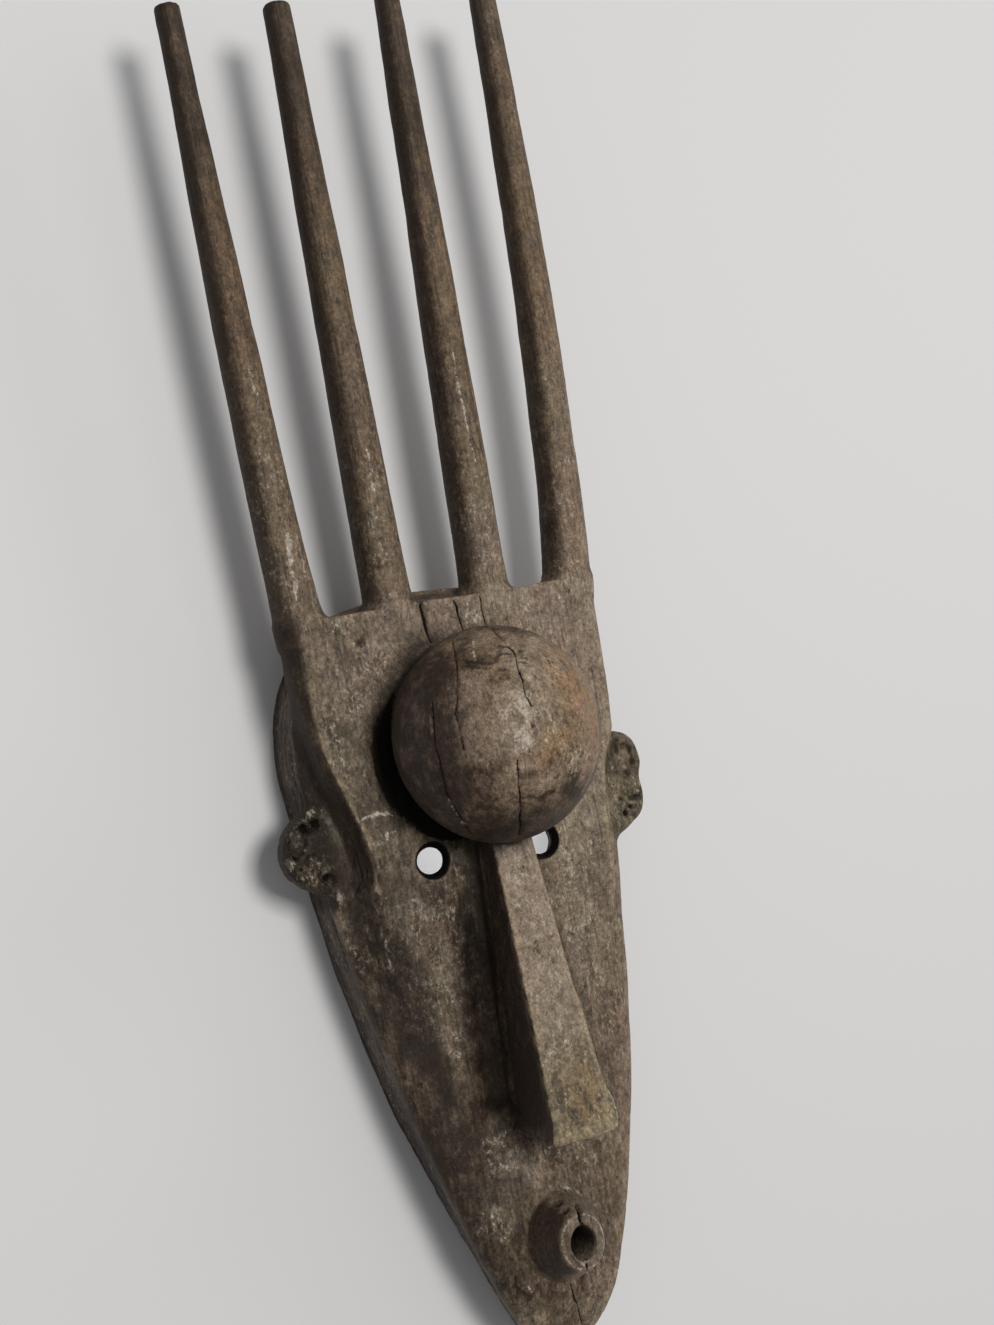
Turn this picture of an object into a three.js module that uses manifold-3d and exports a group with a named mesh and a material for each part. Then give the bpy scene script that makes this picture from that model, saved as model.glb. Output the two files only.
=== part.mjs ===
// A four-horned face mask carved from one block of hardwood, lying face up on its back rim.
// Millimetres. X is the viewer's right, Y runs from the chin to the horn tips and Z points out of the face.
// The face is shaped around the middle of the eyes at Z = 0 and moved to its place at the end.

import * as THREE from 'three';
import { LoftGeometry } from 'three/addons/geometries/LoftGeometry.js';
import { mergeVertices } from 'three/addons/utils/BufferGeometryUtils.js';
import Module from 'manifold-3d';

// Helmet: the deep shell behind the face, open at the back
const RIM_DEPTH = 55;
const WALL = 10;
const FACE_THICKNESS = 13;
const CHEEK_WIDEST_DEPTH = 20;
const CHIN_WIDEST_DEPTH = 12;
const CHIN_Y = -264;
const ARCH_CENTRE_Y = 52;
const ARCH_RADIUS = 84.5;
const ARCH_RIM_HALF_WIDTH = 84;
const ARCH_FULLNESS = 2.45;
const CHIN_FALL_START_Y = -185;
const CHIN_FALL = 22;
const CHIN_FALL_POWER = 2.5;
const CHEEK_TURN = { fromY: -200, toY: -20 };
const FACE_SQUARENESS = 3.3;
const CHIN_SQUARENESS = 2.3;
const SQUARE_FROM_Y = -120;
const LEAST_FRONT_DEPTH = 4;
const LEAST_HALF_WIDTH = 1;
const WALL_CURVE = 1.15;
const SECTION_FRONT_STEPS = 18;
const SECTION_WALL_STEPS = 4;
const HELMET_STATIONS = 30;
const HOLLOW_STATIONS = 24;
const HOLLOW_CHIN_Y = CHIN_Y + 12;
const STATION_EVENNESS = 0.25;

// Board: the flat plate in front of the helmet that carries the horns
const BOARD_TOP_Y = 129;
const BOARD_BOTTOM_Y = -80;
const BOARD_FRONT = 3.5;
const BOARD_BACK = -20.5;
const BOARD_EDGE_RADIUS = 4;
const BOARD_TOP_EDGE = { radius: 11.9, fromY: 45, toY: 118 };
const BOARD_LEAST_FLAT = 0.1;
const BOARD_SHIFT_TOP = 2.9;
const BOARD_SHIFT = { fromY: -40, toY: 50 };
const BOARD_DIP = 11;
const BOARD_DIP_START_Y = 10;
const BOARD_BACK_COVER = 10;
const BOARD_COVER_FROM_Y = 5;
const DOME_LEAN = { depth: 12, fromY: 120, toY: 138 };
const BOARD_STEPS = 14;
const BOARD_CORNER_STEPS = 4;

// Round cuts that take the cheeks away outside a ridge running down from the board's edges, each
// given by the middle line of the cut
const CHEEK_CUT_RADIUS = 20.5;
const CHEEK_CUT_SIDES = 24;
const CHEEK_CUTS = [
  [
    [-102, 78, 20], [-96, 52, 11], [-91, 32, 8.4], [-86, 16, 8], [-84, 4, 8], [-87, -9, 8],
    [-86.5, -22, 8], [-84, -40, 8], [-78, -60, 9.5], [-72, -78, 14], [-66, -98, 21],
  ],
  [
    [101, 45, 18], [94, 25, 10], [91, 5, 8.5], [90.5, -20, 8.5], [88, -45, 9.5], [82, -70, 13],
    [76, -95, 20],
  ],
];

// Horns
const HORN_BASE_Y = 118;
const HORN_BASE_Z = -8.5;
const HORN_TIP_Z = 2;
const HORN_TAPER_POWER = 1.4;
const HORN_FOOT_FLARE = 0.22;
const HORN_FLARE_REACH = 0.05;
const HORN_FOOT_HALF_DEPTH = 11.7;
const HORN_ROUND_FROM = 0.2;
const HORN_BOW_POWER = 0.9;
const HORN_TIP_BLUNTING = 2;
const HORN_SIDES = 14;
const HORN_STEPS = 12;
const HORNS = [
  { baseX: -74.4, tipX: -84.4, tipY: 444, bow: -1.2, baseWidth: 24, tipWidth: 12.6, flareSide: 1 },
  { baseX: -24.3, tipX: -26, tipY: 443.5, bow: -0.3, baseWidth: 24.8, tipWidth: 14.2, flareSide: 0 },
  { baseX: 30.8, tipX: 37.1, tipY: 448, bow: 0.3, baseWidth: 25.4, tipWidth: 13.6, flareSide: 0 },
  { baseX: 80.6, tipX: 93.2, tipY: 449, bow: 4.2, baseWidth: 24.4, tipWidth: 14.2, flareSide: -1 },
];

// Ball on the forehead
const BALL_RADII = { x: 52, y: 54, z: 51.5 };
const BALL_CENTRE = { x: 0.5, y: 56.4, z: 36 };
const BALL_SIDES = 32;
const BALL_RINGS = 20;

// Nose: a wedge that rises and widens from under the ball to its tip
const NOSE_TOP_Y = 12;
const NOSE_BOTTOM_Y = -146;
const NOSE_BASE_BOTTOM_Y = -140;
const NOSE_TOP_HEIGHT = 22;
const NOSE_TIP_HEIGHT = 48;
const NOSE_TOP_HALF_WIDTH = 11.5;
const NOSE_TIP_HALF_WIDTH = 16.5;
const NOSE_SIDE_FLARE = 1.5;
const NOSE_FLARE_POWER = 8;
const NOSE_STEPS = 8;
const NOSE_SHIFT_TOP = 4.5;
const NOSE_SHIFT_TIP = 1;
const NOSE_ROOT_Z = -8;

// Eyes, mouth and ears
const EYES = [
  { x: -32, y: 0 },
  { x: 30.5, y: -2.5 },
];
const EYE_FRONT_RADIUS = 9.8;
const EYE_NECK_RADIUS = 7.1;
const EYE_BACK_RADIUS = 12;
const EYE_NECK_Z = -2;
const EYE_CUT = { backZ: -30, frontZ: 12 };
const MOUTH_Y = -200.7;
const MOUTH_BASE_RADIUS = 21;
const MOUTH_RIM_RADIUS = 12.6;
const MOUTH_BORE_RADIUS = 7.8;
const MOUTH_HEIGHT = 21;
const MOUTH_ROOT_Z = -8;
const MOUTH_OVAL = { x: 0.9, y: 1.03 };
const MOUTH_BORE_OVAL = { x: 0.93, y: 1.18 };
const MOUTH_FOOT = { inset: 1, z: 2 };
const MOUTH_SHOULDER = { outset: 3.2, height: 0.55 };
const MOUTH_RIM_BEVEL = 1;
const MOUTH_BORE_CUT = 5;
const TURNED_SIDES = { mouth: 28, hole: 20 };
// Each ear's outline runs from its top root round to its bottom root, as distance from the middle and height
const EARS = [
  {
    side: -1,
    outline: [[72, 41], [87.5, 37.2], [99.3, 29.2], [104.5, 17], [101.5, 5.3], [90.5, -3.8], [72, -12]],
    bowls: [
      { x: 90.5, y: 28.5, z: -8.5, radii: [6.5, 7, 6] },
      { x: 84.5, y: 2, z: -8, radii: [3.6, 4.2, 4] },
    ],
  },
  {
    side: 1,
    outline: [
      [72, 45.5], [90.8, 45.6], [102.2, 40.8], [105.9, 28], [103.6, 18.5], [103.8, 9], [100.3, -0.7],
      [89.7, -7.6], [72, -15],
    ],
    bowls: [
      { x: 93, y: 30, z: -8, radii: [6, 8.5, 5] },
      { x: 95.5, y: 5, z: -8, radii: [5, 6, 4] },
    ],
  },
];
const EAR_ROOT_X = 60;
const EAR_FRONT_Z = -9;
const EAR_THICKNESS = 17;
const EAR_BEVEL = 4;
const EAR_BEVEL_STEPS = 2;
const EAR_CURVE_STEPS = 3;
const EAR_BOWL_SIDES = 16;
const EAR_BOWL_RINGS = 10;

// Cutting block behind the rim, and how far the shell and its hollow run on into it
const BEHIND_RIM = { width: 400, length: 900, depth: 100 };
const SHELL_OVERRUN = 6;
const HOLLOW_OVERRUN = 20;
const WELD_DISTANCE = 1e-4;

const wasm = await Module();
wasm.setup();

function solid(geometry) {
  const bare = geometry.index ? geometry.toNonIndexed() : geometry.clone();
  bare.deleteAttribute('normal');
  bare.deleteAttribute('uv');
  const merged = mergeVertices(bare, WELD_DISTANCE);
  const corners = merged.index.array;
  const kept = [];
  for (let i = 0; i < corners.length; i += 3) {
    const [a, b, c] = [corners[i], corners[i + 1], corners[i + 2]];
    if (a !== b && b !== c && c !== a) kept.push(a, b, c);
  }
  return new wasm.Manifold(new wasm.Mesh({
    numProp: 3,
    vertProperties: Float32Array.from(merged.attributes.position.array),
    triVerts: Uint32Array.from(kept),
  }));
}

function placed(geometry, x, y, z) {
  return solid(geometry.translate(x, y, z));
}

// A smooth curve through a few (y, value) pairs, listed from the chin upwards
function through(pairs) {
  return (y) => {
    const last = pairs.length - 1;
    if (y <= pairs[0][0]) return pairs[0][1];
    if (y >= pairs[last][0]) return pairs[last][1];
    const i = pairs.findIndex((pair) => pair[0] > y) - 1;
    const [y0, v0] = pairs[i];
    const [y1, v1] = pairs[i + 1];
    const [yBefore, vBefore] = pairs[Math.max(i - 1, 0)];
    const [yAfter, vAfter] = pairs[Math.min(i + 2, last)];
    const t = (y - y0) / (y1 - y0);
    const startSlope = (v1 - vBefore) / (y1 - yBefore) * (y1 - y0);
    const endSlope = (vAfter - v0) / (yAfter - y0) * (y1 - y0);
    const t2 = t * t;
    const t3 = t2 * t;
    return (2 * t3 - 3 * t2 + 1) * v0 + (t3 - 2 * t2 + t) * startSlope
      + (3 * t2 - 2 * t3) * v1 + (t3 - t2) * endSlope;
  };
}

const jawHalfWidth = through([
  [CHIN_Y, 0], [-259, 14], [-253, 20], [-243, 26], [-226, 34], [-186, 47.5], [-121, 64.5],
  [-55, 77], [-12, 83], [ARCH_CENTRE_Y, 87],
]);
const jawRimHalfWidth = through([
  [CHIN_Y, 0], [-253, 8.5], [-226, 20], [-186, 35.5], [-121, 57.5],
  [-55, 71.5], [-8, 78], [ARCH_CENTRE_Y, ARCH_RIM_HALF_WIDTH],
]);

// Half-width at height y of a section that stands inset inside the outline
function outlineHalfWidth(y, inset, jaw) {
  if (y < ARCH_CENTRE_Y) return Math.max(jaw(y) - inset, LEAST_HALF_WIDTH);
  const rise = Math.min((y - ARCH_CENTRE_Y) / (ARCH_RADIUS - inset), 1);
  const arched = (jaw(ARCH_CENTRE_Y) - inset) * (1 - rise ** ARCH_FULLNESS) ** (1 / ARCH_FULLNESS);
  return Math.max(arched, LEAST_HALF_WIDTH);
}

// The face runs flat from the eyes down and curves back at the chin; above the ears
// the helmet's front steps back behind the board, and its dome leans back behind the horns
function frontHeight(y) {
  const fall = Math.max(CHIN_FALL_START_Y - y, 0) / (CHIN_FALL_START_Y - CHIN_Y);
  const step = THREE.MathUtils.smoothstep(y, BOARD_COVER_FROM_Y, ARCH_CENTRE_Y);
  const lean = THREE.MathUtils.smoothstep(y, DOME_LEAN.fromY, DOME_LEAN.toY);
  return -CHIN_FALL * fall ** CHIN_FALL_POWER - BOARD_BACK_COVER * step - DOME_LEAN.depth * lean;
}

// One closed section across the helmet: up the right wall, over the face and down the left wall
function helmetSection(y, inset, faceInset, depth) {
  const widest = outlineHalfWidth(y, inset, jawHalfWidth);
  const rim = outlineHalfWidth(y, inset, jawRimHalfWidth);
  const front = frontHeight(y) - faceInset;
  const cheek = THREE.MathUtils.smoothstep(y, CHEEK_TURN.fromY, CHEEK_TURN.toY);
  const widestDepth = THREE.MathUtils.lerp(CHIN_WIDEST_DEPTH, CHEEK_WIDEST_DEPTH, cheek);
  const widestZ = Math.min(-widestDepth, front - LEAST_FRONT_DEPTH);
  const jaw = THREE.MathUtils.smoothstep(y, CHIN_Y, SQUARE_FROM_Y);
  const squareness = THREE.MathUtils.lerp(CHIN_SQUARENESS, FACE_SQUARENESS, jaw);
  const points = [];
  for (let i = 0; i <= SECTION_WALL_STEPS; i += 1) {
    const t = 1 - i / (SECTION_WALL_STEPS + 1);
    points.push([widest - (widest - rim) * t ** WALL_CURVE, widestZ - (depth + widestZ) * t]);
  }
  for (let i = 0; i <= SECTION_FRONT_STEPS / 2; i += 1) {
    const angle = i / SECTION_FRONT_STEPS * Math.PI;
    points.push([
      widest * Math.cos(angle) ** (2 / squareness),
      widestZ + (front - widestZ) * Math.sin(angle) ** (2 / squareness),
    ]);
  }
  points[points.length - 1][0] = 0;
  const mirrored = points.slice(0, -1).reverse().map(([x, z]) => [-x, z]);
  return [...points, ...mirrored].map(([x, z]) => new THREE.Vector3(x, y, z));
}

// Sections stand closer together towards both ends, where the outline turns in
function helmetStations(from, to, count) {
  const stations = [];
  for (let i = 0; i <= count; i += 1) {
    const evened = i / count;
    const eased = (1 - Math.cos(evened * Math.PI)) / 2;
    stations.push(THREE.MathUtils.lerp(from, to, THREE.MathUtils.lerp(eased, evened, STATION_EVENNESS)));
  }
  return stations;
}

function helmet(from, to, count, inset, faceInset, depth) {
  const sections = helmetStations(from, to, count).map((y) => helmetSection(y, inset, faceInset, depth));
  return solid(new LoftGeometry(sections.reverse(), { capStart: true, capEnd: true }));
}

const boardHalfWidth = through([
  [BOARD_BOTTOM_Y, 52], [-55, 65], [-25, 71.5], [5, 74], [25, 77.5], [50, 82.8],
  [97, 88.3], [BOARD_TOP_Y, 90.3],
]);

// Rounded rectangle across the board; its front sinks into the face towards the cheeks, and its
// edges round off fully towards the top, where they run on into the outer horns
function boardSection(y) {
  const dip = Math.max(BOARD_DIP_START_Y - y, 0) / (BOARD_DIP_START_Y - BOARD_BOTTOM_Y);
  const front = BOARD_FRONT - BOARD_DIP * dip ** 2;
  const halfWidth = boardHalfWidth(y);
  const shift = BOARD_SHIFT_TOP * THREE.MathUtils.smoothstep(y, BOARD_SHIFT.fromY, BOARD_SHIFT.toY);
  const rounding = THREE.MathUtils.smoothstep(y, BOARD_TOP_EDGE.fromY, BOARD_TOP_EDGE.toY);
  const edgeRadius = THREE.MathUtils.lerp(BOARD_EDGE_RADIUS, BOARD_TOP_EDGE.radius, rounding);
  const radius = Math.min(edgeRadius, (front - BOARD_BACK) / 2 - BOARD_LEAST_FLAT);
  const corners = [
    [1, BOARD_BACK, -90], [1, front, 0], [-1, front, 90], [-1, BOARD_BACK, 180],
  ];
  const points = [];
  for (const [side, face, startAngle] of corners) {
    const centreX = side * (halfWidth - radius) + shift;
    const centreZ = face + (face === front ? -radius : radius);
    for (let i = 0; i <= BOARD_CORNER_STEPS; i += 1) {
      const angle = THREE.MathUtils.degToRad(startAngle + 90 * i / BOARD_CORNER_STEPS);
      points.push(new THREE.Vector3(
        centreX + radius * Math.cos(angle),
        y,
        centreZ + radius * Math.sin(angle),
      ));
    }
  }
  return points;
}

function board() {
  const sections = [];
  for (let i = 0; i <= BOARD_STEPS; i += 1) {
    sections.push(boardSection(THREE.MathUtils.lerp(BOARD_TOP_Y, BOARD_BOTTOM_Y, i / BOARD_STEPS)));
  }
  return solid(new LoftGeometry(sections, { capStart: true, capEnd: true }));
}

function cheekCut(path) {
  const rings = path.map(([middleX, y, middleZ]) => {
    const ring = [];
    for (let k = 0; k < CHEEK_CUT_SIDES; k += 1) {
      const angle = k / CHEEK_CUT_SIDES * 2 * Math.PI;
      const x = middleX + CHEEK_CUT_RADIUS * Math.cos(angle);
      const z = middleZ + CHEEK_CUT_RADIUS * Math.sin(angle);
      ring.push(new THREE.Vector3(x, y, z));
    }
    return ring;
  });
  return solid(new LoftGeometry(rings, { capStart: true, capEnd: true }));
}

// A round tapering horn with a blunt end, bowed a little to one side; the foot of an
// outer horn flares on its inner side alone, so that its outer side runs on down the board
function horn({ baseX, tipX, tipY, bow, baseWidth, tipWidth, flareSide }) {
  const rings = [];
  for (let i = 0; i <= HORN_STEPS + 1; i += 1) {
    const along = Math.min(i / HORN_STEPS, 1);
    const blunting = i > HORN_STEPS ? HORN_TIP_BLUNTING : 0;
    const bowed = bow * Math.sin(Math.PI * along ** HORN_BOW_POWER);
    const middleX = THREE.MathUtils.lerp(baseX, tipX, along) + bowed;
    const y = THREE.MathUtils.lerp(HORN_BASE_Y, tipY - HORN_TIP_BLUNTING, along) + blunting;
    const z = THREE.MathUtils.lerp(HORN_BASE_Z, HORN_TIP_Z, along);
    const flare = 1 + HORN_FOOT_FLARE * Math.exp(-along / HORN_FLARE_REACH);
    const taper = baseWidth + (tipWidth - baseWidth) * along ** HORN_TAPER_POWER;
    const radius = taper / 2 * flare - blunting;
    const x = middleX + flareSide * taper / 2 * (flare - 1);
    const roundness = THREE.MathUtils.smoothstep(along, 0, HORN_ROUND_FROM);
    const halfDepth = THREE.MathUtils.lerp(HORN_FOOT_HALF_DEPTH, radius, roundness);
    const ring = [];
    for (let k = 0; k < HORN_SIDES; k += 1) {
      const angle = k / HORN_SIDES * 2 * Math.PI;
      ring.push(new THREE.Vector3(x + radius * Math.cos(angle), y, z + halfDepth * Math.sin(angle)));
    }
    rings.push(ring);
  }
  return solid(new LoftGeometry(rings.reverse(), { capStart: true, capEnd: true }));
}

function ball() {
  const geometry = new THREE.SphereGeometry(1, BALL_SIDES, BALL_RINGS);
  geometry.scale(BALL_RADII.x, BALL_RADII.y, BALL_RADII.z);
  return placed(geometry, BALL_CENTRE.x, BALL_CENTRE.y, BALL_CENTRE.z);
}

// A four-sided wedge with a flat front; the sides flare out near the tip
function nose() {
  const sections = [];
  for (let i = 0; i <= NOSE_STEPS; i += 1) {
    const along = i / NOSE_STEPS;
    const shift = THREE.MathUtils.lerp(NOSE_SHIFT_TOP, NOSE_SHIFT_TIP, along);
    const flare = NOSE_SIDE_FLARE * along ** NOSE_FLARE_POWER;
    const half = THREE.MathUtils.lerp(NOSE_TOP_HALF_WIDTH, NOSE_TIP_HALF_WIDTH, along) + flare;
    const frontZ = THREE.MathUtils.lerp(NOSE_TOP_HEIGHT, NOSE_TIP_HEIGHT, along);
    const frontY = THREE.MathUtils.lerp(NOSE_TOP_Y, NOSE_BOTTOM_Y, along);
    const rootY = THREE.MathUtils.lerp(NOSE_TOP_Y, NOSE_BASE_BOTTOM_Y, along);
    sections.push([
      new THREE.Vector3(shift + half, rootY, NOSE_ROOT_Z),
      new THREE.Vector3(shift + half, frontY, frontZ),
      new THREE.Vector3(shift - half, frontY, frontZ),
      new THREE.Vector3(shift - half, rootY, NOSE_ROOT_Z),
    ]);
  }
  return solid(new LoftGeometry(sections, { capStart: true, capEnd: true }));
}

// A lathe turned about Z from (radius, z) pairs, stretched along X and Y where it is oval
function turned(profile, sides, x, y, oval = { x: 1, y: 1 }) {
  const points = profile.map(([radius, z]) => new THREE.Vector2(radius, z));
  const geometry = new THREE.LatheGeometry(points, sides).rotateX(Math.PI / 2);
  return placed(geometry.scale(oval.x, oval.y, 1), x, y, 0);
}

function mouthTube() {
  return turned([
    [0, MOUTH_ROOT_Z],
    [MOUTH_BASE_RADIUS, MOUTH_ROOT_Z],
    [MOUTH_BASE_RADIUS - MOUTH_FOOT.inset, MOUTH_FOOT.z],
    [MOUTH_RIM_RADIUS + MOUTH_SHOULDER.outset, MOUTH_HEIGHT * MOUTH_SHOULDER.height],
    [MOUTH_RIM_RADIUS, MOUTH_HEIGHT - MOUTH_RIM_BEVEL],
    [MOUTH_RIM_RADIUS - MOUTH_RIM_BEVEL, MOUTH_HEIGHT],
    [0, MOUTH_HEIGHT],
  ], TURNED_SIDES.mouth, 0, MOUTH_Y, MOUTH_OVAL);
}

function mouthBore() {
  return turned([
    [0, -RIM_DEPTH],
    [MOUTH_BORE_RADIUS, -RIM_DEPTH],
    [MOUTH_BORE_RADIUS, MOUTH_HEIGHT + MOUTH_BORE_CUT],
    [0, MOUTH_HEIGHT + MOUTH_BORE_CUT],
  ], TURNED_SIDES.hole, 0, MOUTH_Y, MOUTH_BORE_OVAL);
}

// An eye hole narrows from both faces to a neck near the front
function eyeHole({ x, y }) {
  return turned([
    [0, EYE_CUT.backZ],
    [EYE_BACK_RADIUS, EYE_CUT.backZ],
    [EYE_BACK_RADIUS, -FACE_THICKNESS],
    [EYE_NECK_RADIUS, EYE_NECK_Z],
    [EYE_FRONT_RADIUS, BOARD_FRONT],
    [EYE_FRONT_RADIUS, EYE_CUT.frontZ],
    [0, EYE_CUT.frontZ],
  ], TURNED_SIDES.hole, x, y);
}

// A flat ear with rounded edges and small bowls in its front
function ear({ side, outline, bowls }) {
  const [first, ...rest] = outline.map(([x, y]) => new THREE.Vector2(x, y));
  const shape = new THREE.Shape().moveTo(EAR_ROOT_X, first.y).lineTo(first.x, first.y);
  shape.splineThru(rest).lineTo(EAR_ROOT_X, rest[rest.length - 1].y).closePath();
  let carved = solid(new THREE.ExtrudeGeometry(shape, {
    depth: EAR_THICKNESS - 2 * EAR_BEVEL,
    bevelEnabled: true,
    bevelSize: EAR_BEVEL,
    bevelOffset: -EAR_BEVEL,
    bevelThickness: EAR_BEVEL,
    bevelSegments: EAR_BEVEL_STEPS,
    curveSegments: EAR_CURVE_STEPS,
  }).translate(0, 0, EAR_FRONT_Z - EAR_THICKNESS + EAR_BEVEL));
  for (const { x, y, z, radii } of bowls) {
    const bowl = new THREE.SphereGeometry(1, EAR_BOWL_SIDES, EAR_BOWL_RINGS).scale(...radii);
    carved = carved.subtract(placed(bowl, x, y, z));
  }
  return side > 0 ? carved : carved.mirror([1, 0, 0]);
}

function shell() {
  const topY = ARCH_CENTRE_Y + ARCH_RADIUS;
  return helmet(CHIN_Y, topY, HELMET_STATIONS, 0, 0, RIM_DEPTH + SHELL_OVERRUN);
}

function hollow() {
  const topY = ARCH_CENTRE_Y + ARCH_RADIUS - WALL;
  const depth = RIM_DEPTH + HOLLOW_OVERRUN;
  return helmet(HOLLOW_CHIN_Y, topY, HOLLOW_STATIONS, WALL, FACE_THICKNESS, depth);
}

function carve() {
  let mask = shell().add(board());
  for (const path of CHEEK_CUTS) mask = mask.subtract(cheekCut(path));
  for (const shape of HORNS) mask = mask.add(horn(shape));
  mask = mask.add(ball()).add(nose()).add(mouthTube());
  for (const dimensions of EARS) mask = mask.add(ear(dimensions));
  mask = mask.subtract(hollow()).subtract(mouthBore());
  for (const eye of EYES) mask = mask.subtract(eyeHole(eye));
  const { width, length, depth } = BEHIND_RIM;
  const behind = new THREE.BoxGeometry(width, length, depth);
  return mask.subtract(placed(behind, 0, 0, -RIM_DEPTH - depth / 2));
}

function geometryOf(manifold) {
  const mesh = manifold.getMesh();
  const geometry = new THREE.BufferGeometry();
  geometry.setAttribute('position', new THREE.BufferAttribute(mesh.vertProperties, 3));
  geometry.setIndex(new THREE.BufferAttribute(mesh.triVerts, 1));
  geometry.computeVertexNormals();
  return geometry;
}

const darkWood = new THREE.MeshStandardMaterial({ color: 0x5c5045, roughness: 0.72, metalness: 0 });

const maskGeometry = geometryOf(carve());
maskGeometry.computeBoundingBox();
const { min, max } = maskGeometry.boundingBox;
maskGeometry.translate(-(min.x + max.x) / 2, -(min.y + max.y) / 2, -min.z);

const mask = new THREE.Mesh(maskGeometry, darkWood);
mask.name = 'mask';

const carving = new THREE.Group();
carving.add(mask);

export default carving;
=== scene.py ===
import functools
import math

import bpy
import numpy as np
import openvdb
from mathutils import Matrix, Vector


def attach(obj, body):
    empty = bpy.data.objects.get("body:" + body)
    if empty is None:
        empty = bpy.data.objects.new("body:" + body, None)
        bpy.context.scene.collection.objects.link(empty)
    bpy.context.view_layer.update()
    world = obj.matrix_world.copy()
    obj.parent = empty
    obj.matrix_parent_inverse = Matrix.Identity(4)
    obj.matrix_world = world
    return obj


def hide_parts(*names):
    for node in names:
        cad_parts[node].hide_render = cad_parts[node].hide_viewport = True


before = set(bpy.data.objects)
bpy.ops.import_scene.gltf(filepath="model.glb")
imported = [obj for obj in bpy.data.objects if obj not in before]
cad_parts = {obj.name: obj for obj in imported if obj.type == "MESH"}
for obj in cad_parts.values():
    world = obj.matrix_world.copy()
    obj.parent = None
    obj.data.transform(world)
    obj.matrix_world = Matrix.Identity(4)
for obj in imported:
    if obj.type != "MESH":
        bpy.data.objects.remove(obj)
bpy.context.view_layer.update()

# The mask is shaped in millimetres around the middle of its eyes: X to the viewer's right,
# Y towards the horns, Z out of the face. TO_ROW carries that frame to the row's frame.
TO_ROW = np.array([-0.65, -92.5, 55.0])
MM = 0.001
SEED = 11

# Numbers shared with the solids, in mm
RIM_DEPTH = 55.0
WALL = 10.0
FACE_THICKNESS = 13.0
CHEEK_WIDEST_DEPTH = 20.0
CHIN_WIDEST_DEPTH = 12.0
CHIN_Y = -264.0
CHIN_SQUARENESS = 2.3
CHEEK_SQUARENESS = 3.3
WALL_CURVE = 1.15
ARCH_CENTRE_Y = 52.0
ARCH_RADIUS = 84.5
ARCH_RIM_HALF_WIDTH = 84.0
ARCH_FULLNESS = 2.45
CHIN_FALL_START_Y = -185.0
CHIN_FALL = 22.0
BROW_STEP = 10.0
CROWN_STEP = 12.0
BOARD_TOP_Y = 129.0
BOARD_BOTTOM_Y = -80.0
BOARD_FRONT = 3.5
BOARD_BACK = -20.5
BOARD_EDGE_RADIUS = 4.0
BOARD_SHIFT_TOP = 2.9
BOARD_CORNER_LOSS = 1.5
BOARD_CORNER_RADIUS = 11.9
BOARD_DIP_START_Y = 10.0
BOARD_DIP = 11.0
BALL_CENTRE = np.array([0.5, 56.4, 36.0])
BALL_RADII = np.array([52.0, 54.0, 51.5])
NOSE_TOP_Y = 12.0
NOSE_TIP_Y = -146.0
NOSE_FOOT_Y = -140.0
NOSE_ROOT_Z = -8.0
NOSE_EDGE_RADIUS = 1.3
# Each at the nose's top and at its foot
NOSE_FRONT_Z = (22, 48)
NOSE_HALF_WIDTH = (11.5, 16.5)
NOSE_SHIFT = (4.5, 1)
EAR_MIDDLE_Z = -17.5
EAR_HALF_DEPTH = 8.5
EAR_ROUNDING = 5.5
MOUTH_X = 0.6
MOUTH_Y = -200.7
BORE_Y = -201.9
MOUTH_RIM = (11.8, 13.6)
BORE_OVAL = (0.87, 1.16)
EYES = ((-32.0, 0.0), (30.5, -2.5))
EYE_OVAL = (1.0, 0.91)
HORN_BASE_Y = 118.0
HORN_BASE_Z = -8.5
HORN_TIP_Z = 2.0
HORN_FOOT_HALF_DEPTH = 11.7
HORN_FLARE = 0.22
HORN_FLARE_LENGTH = 0.05
# The two last rings of a tip: how far above the horn's end they stand, and how much narrower they are
HORN_TIP_RISE = (1.2, 2.0)
HORN_TIP_INSET = (0.7, 2.4)
# Each horn: base x, tip x, tip y, bow, base width, tip width, side that flares at the foot
HORNS = (
    (-74.4, -84.4, 444.0, -1.2, 24.0, 12.6, 1),
    (-24.3, -26.0, 443.5, -0.3, 24.8, 14.2, 0),
    (30.8, 37.1, 448.0, 0.3, 25.4, 13.6, 0),
    (80.6, 93.2, 449.0, 4.2, 24.4, 14.2, -1),
)
# The cheeks are cut away outside a ridge that runs down from the board's edges: the cut's middle line
CHEEK_CUT_RADIUS = 20.5
CHEEK_CUTS = (
    ((-102, 78, 20), (-96, 52, 11), (-91, 32, 8.4), (-86, 16, 8), (-84, 4, 8), (-87, -9, 8), (-86.5, -22, 8),
     (-84, -40, 8), (-78, -60, 9.5), (-72, -78, 14), (-66, -98, 21)),
    ((101, 45, 18), (94, 25, 10), (91, 5, 8.5), (90.5, -20, 8.5), (88, -45, 9.5), (82, -70, 13),
     (76, -95, 20)),
)
# Each ear's outline from its top root round to its bottom root, as distance from the middle and height
EAR_OUTLINES = {
    -1: ((72, 41), (87.5, 37.2), (99.3, 29.2), (104.5, 17), (101.5, 5.3), (90.5, -3.8), (72, -12)),
    1: ((72, 45.5), (90.8, 45.6), (102.2, 40.8), (105.9, 28), (103.6, 18.5), (103.8, 9), (100.3, -0.7),
        (89.7, -7.6), (72, -15)),
}
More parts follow.
